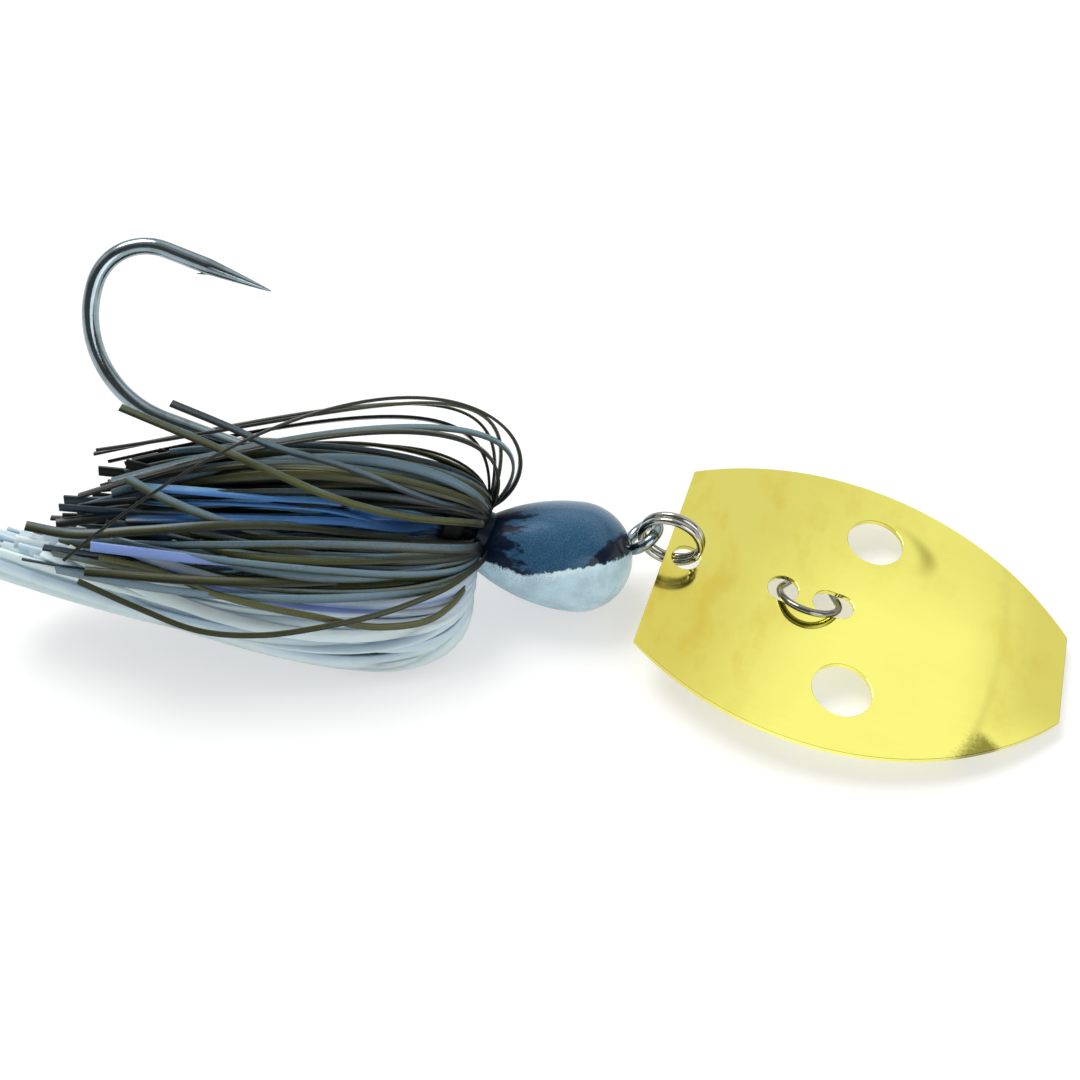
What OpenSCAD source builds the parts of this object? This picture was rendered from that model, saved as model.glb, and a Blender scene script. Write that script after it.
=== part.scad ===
// Bladed jig: a lead head cast on a jig hook, a silicone skirt and a brass blade on a split ring.
// It lies on a table: X runs from the skirt to the blade, Z is up, and sizes are in millimetres.

/* [Hook] */
// Diameter of the hook wire
hook_wire_d = 1.55; // [1.3:0.05:1.7]
// Distance from the shank to the point leg, centre to centre
hook_gap = 14.8; // [13:0.1:18]
// Radius of the bend next to the shank
bend_r = 9.8; // [8:0.1:11]
// Straight shank behind the head
shank_len = 31.8; // [29:0.1:36]
// Straight leg that carries the point
point_leg = 10; // [9:0.5:13]
// Length of the needle taper at the end of that leg
taper_len = 6; // [4:0.5:7]
// Height of the barb over the wire
barb_h = 0.4; // [0.2:0.05:0.6]
// Length of the barb
barb_len = 1.6; // [1:0.1:2.2]
// Shank inside the head, up to the bend of the eye leg
shank_in = 12; // [11.5:0.1:12.5]
// Length of the eye leg, from that bend to the centre of the eye
eye_leg = 6.5; // [6.2:0.1:7.5]
// Angle between the shank and the eye leg
eye_bend = 60; // [57:1:64]
// Radius of the bend of the eye leg
eye_bend_r = 2.5; // [2:0.1:3]
// Inside diameter of the eye
eye_d = 2.4; // [2.3:0.1:2.7]
// Diameter of the wire round the eye
eye_wire_d = 1.2; // [1:0.05:1.3]
// Turn of the eye about its leg
eye_turn = 10; // [5:1:25]

/* [Head] */
// Radius of the round front of the head
nose_r = 5.5; // [5:0.1:5.7]
// Distance from the back of the head to the centre of its round front
nose_at = 9.7; // [9:0.1:10]
// Radius of the back of the head
back_r = 2.6; // [2.3:0.1:3.2]
// Angle between the shank and the axis of the head
head_tilt = 13.4; // [11:0.1:16]
// How far the axis of the head lies below the shank at the back
head_drop = 0.9; // [0.6:0.1:1.2]
// Radius of the keeper post that carries the skirt
keeper_r = 1.6; // [1.4:0.05:1.7]
// Height of the keeper's barb over the post
keeper_barb = 0.25; // [0.1:0.05:0.35]
// Length of the keeper post behind the rubber band
keeper_tail = 2.6; // [2.4:0.1:3]
// Radius of the shoulder in front of the skirt
shoulder_r = 2.7; // [2.4:0.1:3]

/* [Skirt] */
// Width of the rubber band along the shank
band_len = 2; // [1.6:0.1:2.6]
// Wall of the rubber band
band_wall = 0.7; // [0.5:0.05:0.9]
// Gap between the shoulder and the band, where the front strands turn back
turn_gap = 1.4; // [1.2:0.1:1.8]
// Thickness of one layer of strands in the band
layer = 0.38; // [0.34:0.02:0.5]
// Clearance between layers, groups of strands, post and band
snug = 0.03; // [0.02:0.01:0.05]
// Strands that leave the front of the band and fold back
front_strands = 30; // [26:1:32]
// Strands that leave the back of the band
back_strands = 16; // [12:1:17]
// Width of a strand
strand_w = 0.75; // [0.55:0.05:0.8]
// Thickness of a strand
strand_t = 0.3; // [0.22:0.02:0.34]
// Reach of the skirt behind the head
skirt_len = 39.5; // [36:0.5:42]
// How much longer the belly strands are
belly_extra = 5.5; // [4.5:0.5:8]
// How much shorter the top strands are
top_less = 6; // [4:0.5:8]
// Swell of the skirt above the hook plane's middle
swell_up = 10.5; // [9:0.5:12]
// Swell of the skirt below it
swell_down = 15; // [14:0.5:16]
// Swell of the skirt to either side
swell_side = 8; // [7:0.5:9]
// Height of the tail of the skirt over the collar
tail_rise = 4.5; // [3:0.5:6]
// Spread of the tail of the skirt above its middle and to the sides
tail_spread = 7.5; // [6.5:0.5:8]
// Spread of the tail of the skirt below its middle
tail_drop = 1; // [1:0.5:2]
// How far the tail of the strands that leave the back of the band lies over the others' tail
core_over = 1.5; // [1.5:0.5:2.5]
// Spread of their tail below its middle
core_drop = 3; // [3:0.5:4]

/* [Split ring] */
// Outside diameter of the split ring
ring_d = 6.72; // [6.5:0.02:6.9]
// Wire of the split ring
ring_wire_d = 0.72; // [0.6:0.02:0.76]
// Gap between the two turns
turn_air = 0.02; // [0.01:0.01:0.05]
// Half the angle that the crossover between the turns takes
cross_half_angle = 12; // [10:1:16]
// Angle round the ring at which the turns cross over
cross_angle = 345; // [340:1:360]
// Angle round the ring at which it hangs in the hook eye
eye_angle = 195; // [192:1:205]
// Height of the middle of the ring over the middle of the blade
ring_rise = 2.34; // [2.2:0.02:2.4]

/* [Blade] */
// Length of the blade
blade_len = 39.8; // [36:0.1:44]
// Width of the straight edge next to the ring
rear_w = 22.8; // [20:0.1:25]
// Width of the straight edge at the tip
tip_w = 10.2; // [8:0.1:13]
// Radius of the curved sides
side_r = 30; // [28:0.5:36]
// Thickness of the sheet
blade_t = 0.55; // [0.45:0.05:0.6]
// Distance from the rear edge to the ring hole
ring_hole_at = 2.1; // [2:0.05:2.3]
// Diameter of the ring hole
ring_hole_d = 2.9; // [2.8:0.05:3.1]
// Diameter of the two water holes
water_hole_d = 5.7; // [4.8:0.1:6.5]
// Distance from the rear edge to the water holes
water_hole_at = 19.8; // [18.5:0.1:22]
// Distance of the water holes from the middle
water_hole_side = 9.4; // [8.5:0.1:10]
// Distance from the rear edge to the crease
crease_at = 33.8; // [32:0.1:35]
// Bend of the tip at the crease
tip_bend = 2; // [1:0.5:8]

/* [Snap] */
// Wire of the snap
snap_wire_d = 0.7; // [0.6:0.02:0.74]
// Radius of the bow that passes through the blade, at the middle of the wire
bow_r = 2.98; // [2.9:0.02:3.1]
// Radius of the line end, at the middle of the wire
line_r = 1; // [0.9:0.05:1.2]
// Distance between the middles of the bow and the line end
snap_span = 4.6; // [4.2:0.1:4.8]
// Distance from the rear edge of the blade to the middle of the snap
snap_at = 14.8; // [13.5:0.1:16]
// Diameter of the round snap hole
snap_hole_d = 3.1; // [3:0.05:3.2]
// Width of the snap slot
slot_w = 2.9; // [2.8:0.05:3.1]
// Length of the straight part of the snap slot
slot_run = 1.2; // [0.8:0.1:1.4]
// Lean of the snap from upright
snap_lean = 62; // [50:1:62]
// Clearance between the lapped ends
lap_air = 0.1; // [0.05:0.01:0.15]

/* [Rest pose] */
// Place of the back of the head along X
jig_x = -5.4; // [-10:0.1:10]
// Place of the back of the head along Y
jig_y = 3; // [-10:0.1:10]
// Tilt of the hook plane from the table
jig_roll = 50; // [49:1:51]
// Direction of the jig, seen from above
jig_heading = 8; // [6:0.5:10]
// Dip of the shank towards the nose, in the hook plane
shank_dip = 26.8; // [25:0.1:28]
// Direction of the ring and the blade, seen from above
link_heading = -19; // [-24:0.5:-16]
// Dip of the blade towards its tip
blade_dip = 4.8; // [4:0.1:6]

/* [Hidden] */
$fn = 96;

bend_tip_r = hook_gap - bend_r;
bend_end = -shank_len - bend_r + bend_tip_r;
tip_d = 0.12;
barb_root = 0.3;
past = 1;
// Straight legs are a little thinner than the bends they join, and are set into them
leg_share = 0.96;
overlap = 0.15;
eye_r = (eye_d + eye_wire_d) / 2;
eye_spot = [shank_in + eye_leg * cos(eye_bend), eye_leg * sin(eye_bend), 0];
eye_set = eye_bend_r * tan(eye_bend / 2);
flank_r = (nose_at ^ 2 + (nose_r - back_r) ^ 2) / (2 * (nose_r - back_r));
shoulder_back = 0.6;
shoulder_front = 2;
keeper_wall = 0.2;
inner_r = keeper_r + snug;
outer_r = inner_r + layer + snug;
band_r = outer_r + layer + snug;
band_front = -shoulder_back - turn_gap;
band_back = band_front - band_len;
keeper_end = band_back - keeper_tail;
keeper_barb_at = band_back - 0.9;
ring_r = (ring_d - ring_wire_d) / 2;
turn_pitch = ring_wire_d + turn_air;
cross_share = 0.9;
cross_lap_angle = 3;
hole_angle = -asin(ring_rise / ring_r) - blade_dip;
hole_shift = 0.2;
slot_front = snap_at + bow_r - slot_run;
snap_hole_at = snap_at - bow_r + (snap_hole_d - slot_w) / 2 + hole_shift;
lap = snap_wire_d + lap_air;
taper_angle = asin((bow_r - line_r - lap / 2) / snap_span);
snap_leg = snap_span * cos(taper_angle);
lap_len = 0.5 * snap_leg;

// The nose rests on the table: its lowest point sets the height of the back of the head
nose_spot = [nose_at * cos(head_tilt) + head_drop * sin(shank_dip),
             nose_at * sin(head_tilt) - head_drop * cos(shank_dip), 0];
jig_z = nose_r - turn_x(turn_z(nose_spot, -shank_dip), jig_roll)[2];
jig_spot = [jig_x, jig_y, jig_z];
link = [cos(link_heading), sin(link_heading), 0];
ring_spot = shank_point(eye_spot) - round_ring(eye_angle);
blade_spot = ring_spot + round_ring(hole_angle);

function turn_x(p, a) = [p[0], p[1] * cos(a) - p[2] * sin(a), p[1] * sin(a) + p[2] * cos(a)];
function turn_z(p, a) = [p[0] * cos(a) - p[1] * sin(a), p[0] * sin(a) + p[1] * cos(a), p[2]];
function jig_point(p) = jig_spot + turn_z(turn_x(p, jig_roll), jig_heading);
function shank_point(p) = jig_point(turn_z(p, -shank_dip));
function round_ring(a) = ring_r * (cos(a) * link + [0, 0, sin(a)]);
function unit(v) = v / norm(v);

// The jig's own frame: X along the collar, Y up in the hook plane, Z square to the hook plane
module in_jig() { translate(jig_spot) rotate([jig_roll, 0, jig_heading]) children(); }
// The shank's frame: X along the shank towards the nose
module in_shank() { in_jig() rotate([0, 0, -shank_dip]) children(); }
// The ring's frame: the ring lies in XY round the origin
module in_ring() { translate(ring_spot) rotate([90, 0, link_heading]) children(); }
// The blade's frame: X along the blade from its rear edge, Z square to the sheet
module in_blade() {
    translate(blade_spot) rotate([0, blade_dip, link_heading]) translate([-ring_hole_at, 0, 0]) children();
}

// A round bar between two points
module bar(from, to, d1, d2) {
    v = to - from;
    translate(from)
        rotate([0, acos(v[2] / norm(v)), atan2(v[1], v[0])])
            cylinder(h = norm(v), d1 = d1, d2 = d2);
}
// A bent bar of radius r round the origin, from angle a to angle b
module bend(r, d, a, b) {
    rotate([0, 0, a]) rotate_extrude(angle = b - a) translate([r, 0]) circle(d = d);
}

// The shank in the lead with its eye leg and eye
module eye_end() {
    bar([0, 0, 0], [shank_in - eye_set, 0, 0], hook_wire_d, hook_wire_d);
    translate([shank_in - eye_set, eye_bend_r, 0]) bend(eye_bend_r, hook_wire_d, -90, eye_bend - 90);
    leg = [cos(eye_bend), sin(eye_bend), 0];
    leg_from = [shank_in, 0, 0] + (eye_set - overlap) * leg;
    bar(leg_from, eye_spot - eye_r * leg, leg_share * hook_wire_d, eye_wire_d);
    translate(eye_spot) rotate([0, 0, eye_bend]) rotate([eye_turn + 90, 0, 0])
        rotate_extrude() translate([eye_r, 0]) circle(d = eye_wire_d);
}

module hook() {
    color("dimgray") in_shank() {
        eye_end();
        bar([0, 0, 0], [-shank_len, 0, 0], hook_wire_d, hook_wire_d);
        translate([-shank_len, bend_r, 0]) bend(bend_r, hook_wire_d, 180, 270);
        translate([bend_end, bend_r, 0]) bend(bend_tip_r, hook_wire_d, 90, 180);
        taper_from = [bend_end + point_leg - taper_len, hook_gap, 0];
        bar([bend_end, hook_gap, 0], taper_from, hook_wire_d, hook_wire_d);
        bar(taper_from, taper_from + [taper_len, 0, 0], hook_wire_d, tip_d);
        // The barb is a small wedge on the inner side, cut where the taper begins
        translate(taper_from + [0, -hook_wire_d / 2, 0])
            linear_extrude(hook_wire_d / 3, center = true)
                polygon([[-barb_len / 2, -barb_h], [barb_len / 2, barb_root / 3],
                         [barb_len / 2, barb_root], [0, barb_root]]);
    }
}

// Egg-shaped lead: a round front and a back that narrows on one arc
module lead() {
    translate([head_drop * sin(shank_dip), -head_drop * cos(shank_dip), 0])
        rotate([0, 0, head_tilt]) rotate([0, 90, 0]) {
            rotate_extrude() translate([0, nose_at]) intersection() {
                circle(r = nose_r);
                square(nose_r);
            }
            rotate_extrude() intersection() {
                translate([nose_r - flank_r, nose_at]) circle(r = flank_r, $fn = 200);
                square([nose_r, nose_at]);
            }
        }
}

module head() {
    color("slategray") in_shank() difference() {
        union() {
            lead();
            bar([shoulder_front, 0, 0], [-shoulder_back, 0, 0], 2 * back_r, 2 * shoulder_r);
            bar([0, 0, 0], [keeper_end, 0, 0], 2 * keeper_r, 2 * keeper_r);
            bar([keeper_barb_at, 0, 0], [keeper_end, 0, 0],
                2 * (keeper_r + keeper_barb), hook_wire_d + 2 * keeper_wall);
        }
        eye_end();
        bar([0, 0, 0], [keeper_end - past, 0, 0], hook_wire_d, hook_wire_d);
    }
}

module skirt_band() {
    color("black") in_shank() rotate([0, 90, 0]) translate([0, 0, band_back]) rotate_extrude() {
        soft = band_wall / 3;
        translate([band_r, 0])
            polygon([[0, 0], [band_wall - soft, 0], [band_wall, soft],
                     [band_wall, band_len - soft], [band_wall - soft, band_len], [0, band_len]]);
    }
}

module split_ring() {
    away = cross_half_angle + cross_lap_angle;
    from = [ring_r * cos(cross_angle - away), ring_r * sin(cross_angle - away), turn_pitch / 2];
    to = [ring_r * cos(cross_angle + away), ring_r * sin(cross_angle + away), -turn_pitch / 2];
    color("lightsteelblue") in_ring() {
        for (side = [-1, 1])
            translate([0, 0, side * turn_pitch / 2])
                bend(ring_r, ring_wire_d, cross_angle + cross_half_angle,
                     cross_angle - cross_half_angle + 360);
        // The crossover is pressed a little thinner than the turns
        bar(from, to, cross_share * ring_wire_d, cross_share * ring_wire_d);
    }
}

// Outline of the blade: two straight ends and two sides on arcs
module blade_outline() {
    chord = [blade_len, (tip_w - rear_w) / 2];
    rise = sqrt(side_r ^ 2 - norm(chord) ^ 2 / 4);
    middle = [blade_len / 2, (rear_w + tip_w) / 4] + rise * [chord[1], -chord[0]] / norm(chord);
    intersection() {
        translate(middle) circle(r = side_r, $fn = 200);
        translate([middle[0], -middle[1]]) circle(r = side_r, $fn = 200);
        translate([0, -side_r]) square([blade_len, 2 * side_r]);
    }
}

// The sheet from the side, bent down at the crease
module sheet_profile() {
    half = blade_t / 2;
    reach = blade_len;
    mitre = half * tan(tip_bend / 2);
    down = [cos(tip_bend), -sin(tip_bend)];
    square_to = [sin(tip_bend), cos(tip_bend)];
    crease = [crease_at, 0];
    polygon([[-past, -half], [crease_at - mitre, -half], crease + reach * down - half * square_to,
             crease + reach * down + half * square_to, [crease_at + mitre, half], [-past, half]]);
}

module blade() {
    deep = 4 * blade_t + 2 * blade_len * sin(tip_bend);
    color("gold") in_blade() intersection() {
        rotate([90, 0, 0]) linear_extrude(4 * rear_w, center = true) sheet_profile();
        linear_extrude(deep, center = true) difference() {
            blade_outline();
            translate([ring_hole_at, 0]) circle(d = ring_hole_d);
            translate([snap_hole_at, 0]) circle(d = snap_hole_d);
            for (x = [slot_front, slot_front + slot_run]) translate([x, 0]) circle(d = slot_w);
            translate([slot_front, -slot_w / 2]) square([slot_run, slot_w]);
            for (side = [-1, 1]) translate([water_hole_at, side * water_hole_side]) circle(d = water_hole_d);
        }
    }
}

// A straight leg between two bends
module leg(from, to, d) {
    set_in = overlap * unit(to - from);
    bar(from - set_in, to + set_in, leg_share * d, leg_share * d);
}

module snap() {
    out = [cos(taper_angle), -sin(taper_angle), 0];
    along = [sin(taper_angle), cos(taper_angle), 0];
    line_spot = [-lap / 2 / cos(taper_angle), -snap_span, 0];
    color("silver") in_blade() translate([snap_at, 0, 0]) rotate([snap_lean + 90, 0, 0]) {
        bend(bow_r, snap_wire_d, -taper_angle, 180 + taper_angle);
        translate(line_spot) bend(line_r, snap_wire_d, 180 + taper_angle, 360 - taper_angle);
        mirror([1, 0, 0]) leg(bow_r * out, [-line_spot[0], line_spot[1], 0] + line_r * out, snap_wire_d);
        // The other leg is open: the free end from the bow lies outside the end that comes from the line
        leg(bow_r * out, bow_r * out - snap_leg * along, snap_wire_d);
        leg(line_spot + line_r * out, line_spot + line_r * out + lap_len * along, snap_wire_d);
    }
}

// Strands. Angle 0 is the top of the hook plane, 90 is the near side and 180 is the belly.
front_gap_angle = 18;
back_gap_angle = 32;
front_step = (360 - 2 * front_gap_angle) / (front_strands - 1);
back_step = (360 - 2 * back_gap_angle) / (back_strands - 1);
front_steps = 13;
back_steps = 9;
front_root_w = 0.3;
back_root_w = 0.4;
grow_steps = 3;
// Half the gap between the grips of two groups
edge_angle = 1;
// How far a strand reaches into the grip of the band
root_in = 0.3;
// Where the front strands fold outwards, before the band and over its layer
fold_ahead = 0.8;
fold_lift = 0.5;
// Share of the swell that a strand takes at its fold, at the sides and how much more at the belly
fold_share = 0.55;
belly_fold = 0.3;
// How far behind the collar the strands are widest, and how wide
front_back = 16;
core_back = 20;
wide_share = 1.2;
core_share = 0.5;
core_away = 4;
core_lift = 1;
crown = 1;
low_share = 0.8;
// The far belly strands swell less, and lie on the table up to this angle
far_less = 0.25;
far_from_angle = 165;
table_to_angle = 255;
// The ends of the strands differ by up to this length
tail_vary = 3;
seed = 7;
loop_root_angle = 6;
// What pulls each loop up, what pulls it back, and its end, in the jig's frame
near_loop = [[14, 8, 3], [-3, 26.5, 11], [-37, 3.5, 9]];
top_loop = [[10, 18, 4], [-8, 13.5, 3.5], [-34, 12.4, 4]];
second_layer = 0.9;
table_gap = 0.05;
soft = 1.2;
// Clearance of a strand over the keeper's barb
over_barb = 0.1;

function bezier(p, t) =
    p[0] * (1 - t) ^ 3 + 3 * p[1] * t * (1 - t) ^ 2 + 3 * p[2] * t ^ 2 * (1 - t) + p[3] * t ^ 3;
function larger(a, b) = (a + b + sqrt((a - b) ^ 2 + soft ^ 2)) / 2;
// A strand that would sink into the table slides towards the near side until it lies on it.
// The near belly strands lie on the far ones.
function lay(p, a) =
    let (low = strand_t + table_gap + (a < 180 ? second_layer : 0))
    [p[0], p[1], larger(p[2], (low - jig_z - sin(jig_roll) * p[1]) / cos(jig_roll))];
function root(x, r, a) = turn_z([x, r * cos(a), r * sin(a)], -shank_dip);
function vary(n) = rands(-1, 1, n + 1, seed)[n];
function swell(a, share) =
    let (down = swell_down * (1 - far_less * max(0, a - far_from_angle) / 90))
    share * [0, (cos(a) > 0 ? swell_up : down) * cos(a), swell_side * sin(a)];
function tail(a, share, rise, drop, n) =
    let (reach = skirt_len + belly_extra * max(0, -cos(a)) - top_less * max(0, cos(a)))
    [-reach - tail_vary * vary(n), rise, 0]
    + share * [0, (cos(a) > 0 ? tail_spread : drop) * cos(a), tail_spread * sin(a)];

// The front strands leave the band through its front and start where they fold
front_r = outer_r + layer / 2;
function front_root(a) = [root(band_front - root_in, front_r, a), root(band_front + root_in, front_r, a)];
function front_start(a) = root(band_front + fold_ahead, front_r + fold_lift, a);
// A strand that leaves the front of the band, folds outwards and runs back
function front_path(a, share, n) =
    let (start = front_start(a))
    let (out = swell(a, share))
    let (fold = fold_share + belly_fold * max(0, -cos(a)))
    let (turn = start + fold * out + [crown * share * max(0, cos(a)), 0, 0])
    let (back = [-front_back, tail_rise / 2, 0] + wide_share * out)
    let (curve = [start, turn, back, tail(a, share, tail_rise, tail_drop, n)])
    concat(front_root(a), [for (i = [0:front_steps - 1]) lay(bezier(curve, i / (front_steps - 1)), a)]);
// A strand that is thrown up over the head before it runs back
function loop_path(a, pull) =
    let (curve = concat([front_start(a)], pull))
    concat(front_root(a), [for (i = [0:front_steps - 1]) bezier(curve, i / (front_steps - 1))]);
// A strand that leaves the back of the band, rises over the keeper's barb and runs back inside the others
function back_path(a, share, n) =
    let (r = inner_r + layer / 2)
    let (over = keeper_r + keeper_barb + over_barb + strand_t / 2)
    let (start = root(keeper_barb_at, over, a))
    let (away = root(keeper_barb_at - core_away, over + core_lift, a))
    let (back = [-core_back, tail_rise / 2, 0] + wide_share * swell(a, share / 2))
    let (end = tail(a, core_share, tail_rise + core_over, core_drop, n + front_strands))
    let (curve = [start, away, back, end])
    concat([root(band_back + root_in, r, a), root(band_back - root_in, r, a)],
           [for (i = [0:back_steps - 1]) lay(bezier(curve, i / (back_steps - 1)), a)]);

// One strand: a flat tube of four sides along its points, narrow in the band and full width behind it
module strand(path, a, root_w) {
    last = len(path) - 1;
    side_way = [0, -sin(a), cos(a)];
    corners = [[-1, -1], [1, -1], [1, 1], [-1, 1]];
    points = [for (i = [0:last])
        let (before = path[max(i, 1)] - path[max(i, 1) - 1])
        let (after = path[min(i, last - 1) + 1] - path[min(i, last - 1)])
        let (along = unit(unit(before) + unit(after)))
        let (side = unit(side_way - (side_way * along) * along))
        let (up = cross(along, side))
        let (w = min(strand_w, root_w + (strand_w - root_w) * max(0, i - 2) / grow_steps))
        for (c = corners) path[i] + c[0] * w / 2 * side + c[1] * strand_t / 2 * up];
    walls = [for (i = [0:last - 1]) for (k = [0:3])
        let (b = 4 * i + k)
        let (d = 4 * i + (k + 1) % 4)
        for (f = [[b, d, d + 4], [b, d + 4, b + 4]]) f];
    end = 4 * last;
    ends = [[0, 2, 1], [0, 3, 2], [end, end + 1, end + 2], [end, end + 2, end + 3]];
    polyhedron(points, [for (f = concat(walls, ends)) [f[0], f[2], f[1]]]);
}

// The slice of gathered strands that the band grips, from angle a to angle b
module grip(r, a, b) {
    in_shank() rotate([0, 90, 0]) translate([0, 0, band_back]) rotate([0, 0, a + 90])
        rotate_extrude(angle = b - a) translate([r, 0]) square([layer, band_len]);
}

function front_angle(i) = front_gap_angle + i * front_step;
function back_angle(i) = back_gap_angle + i * back_step;
// Every second strand swells less, but for those that lie on the table
function share_of(i, a) = i % 2 == 0 || (a > 180 && a < table_to_angle) ? 1 : low_share;

module front_strand(i) {
    a = front_angle(i);
    strand(front_path(a, share_of(i, a), i), a, front_root_w);
}
module back_strand(i) {
    a = back_angle(i);
    strand(back_path(a, share_of(i, 0), i), a, back_root_w);
}
module loop_strand(a, pull) { strand(loop_path(a, pull), a, front_root_w); }
module front_group(from, to) {
    inset = front_step / 2 - edge_angle;
    grip(outer_r, front_angle(from) - inset, front_angle(to) + inset);
    in_jig() for (i = [from:to]) front_strand(i);
}
module back_group(from, to) {
    inset = back_step / 2 - edge_angle;
    grip(inner_r, back_angle(from) - inset, back_angle(to) + inset);
    in_jig() for (i = [from:to]) back_strand(i);
}

// Groups of front strands split the ring of strands at these shares of their count
function front_at(share) = round(share * front_strands);
function back_at(share) = round(share * back_strands);

module skirt_loops() {
    color("darkolivegreen") {
        half = front_gap_angle - front_step / 2 - edge_angle;
        grip(outer_r, -half, half);
        in_jig() {
            loop_strand(loop_root_angle, near_loop);
            loop_strand(-loop_root_angle, top_loop);
        }
    }
}
module skirt_top_near() { color("darkolivegreen") front_group(0, front_at(0.17) - 1); }
module skirt_side_near() { color("olivedrab") front_group(front_at(0.17), front_at(0.33) - 1); }
module skirt_lilac() { color("plum") front_group(front_at(0.33), front_at(0.4) - 1); }
module skirt_belly_near() { color("aliceblue") front_group(front_at(0.4), front_at(0.55) - 1); }
module skirt_belly_far() { color("white") front_group(front_at(0.55), front_at(0.7) - 1); }
module skirt_side_far() { color("olivedrab") front_group(front_at(0.7), front_at(0.85) - 1); }
module skirt_top_far() { color("darkolivegreen") front_group(front_at(0.85), front_strands - 1); }
module core_top_near() { color("darkslategray") back_group(0, back_at(0.2) - 1); }
module core_blue() { color("royalblue") back_group(back_at(0.2), back_at(0.4) - 1); }
module core_white() { color("lavender") back_group(back_at(0.4), back_at(0.6) - 1); }
module core_far() { color("darkslategray") back_group(back_at(0.6), back_at(0.8) - 1); }
module core_top_far() { color("darkolivegreen") back_group(back_at(0.8), back_strands - 1); }

hook();
head();
skirt_band();
split_ring();
blade();
snap();
skirt_loops();
skirt_top_near();
skirt_side_near();
skirt_lilac();
skirt_belly_near();
skirt_belly_far();
skirt_side_far();
skirt_top_far();
core_top_near();
core_blue();
core_white();
core_far();
core_top_far();
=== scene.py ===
"""Looks of a bladed jig: painted lead head, hook, silicone skirt, split ring, brass blade and snap.

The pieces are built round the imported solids, in the same frame and in metres.
"""

import math
import random
from collections import namedtuple

import bmesh
import bpy
import numpy as np
from bpy.props import FloatProperty, FloatVectorProperty, IntProperty, PointerProperty
from mathutils import Matrix, Vector


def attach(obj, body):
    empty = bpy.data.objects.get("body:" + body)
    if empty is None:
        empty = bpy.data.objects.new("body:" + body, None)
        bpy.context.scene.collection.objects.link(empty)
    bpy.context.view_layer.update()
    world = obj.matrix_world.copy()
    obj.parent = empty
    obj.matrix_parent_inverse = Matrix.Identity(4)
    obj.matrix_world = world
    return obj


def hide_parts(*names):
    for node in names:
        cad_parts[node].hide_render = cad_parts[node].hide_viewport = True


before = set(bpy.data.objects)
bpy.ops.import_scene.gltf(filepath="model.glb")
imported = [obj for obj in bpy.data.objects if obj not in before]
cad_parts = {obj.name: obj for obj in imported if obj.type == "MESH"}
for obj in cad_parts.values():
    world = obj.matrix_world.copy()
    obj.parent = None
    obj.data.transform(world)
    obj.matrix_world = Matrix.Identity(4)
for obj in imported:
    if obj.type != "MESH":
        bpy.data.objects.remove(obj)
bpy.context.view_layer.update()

bl_info = {
    "name": "Bladed jig",
    "version": (1, 0, 0),
    "blender": (4, 5, 0),
    "location": "View3D > Sidebar > Jig",
    "description": "Builds the looks of a bladed jig round its packed solids",
    "category": "Object",
}

MM = 0.001
# Points closer than this are one point
SAME = 1e-7


def length(name, millimetres, description):
    """A length property with its default given in millimetres."""
    return FloatProperty(name=name, description=description, default=millimetres * MM,
                         unit="LENGTH", subtype="DISTANCE", precision=5)


def angle(name, degrees, description):
    """An angle property with its default given in degrees."""
    return FloatProperty(name=name, description=description, default=math.radians(degrees),
                         unit="ROTATION", subtype="ANGLE")


def colour(name, rgb, description):
    """A colour property in linear light, with its default given as 0 to 255 screen values."""
    linear = [((c / 255 + 0.055) / 1.055) ** 2.4 if c > 10 else c / 255 / 12.92 for c in rgb]
    return FloatVectorProperty(name=name, description=description, default=linear, size=3,
                               min=0, max=1, subtype="COLOR")


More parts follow.
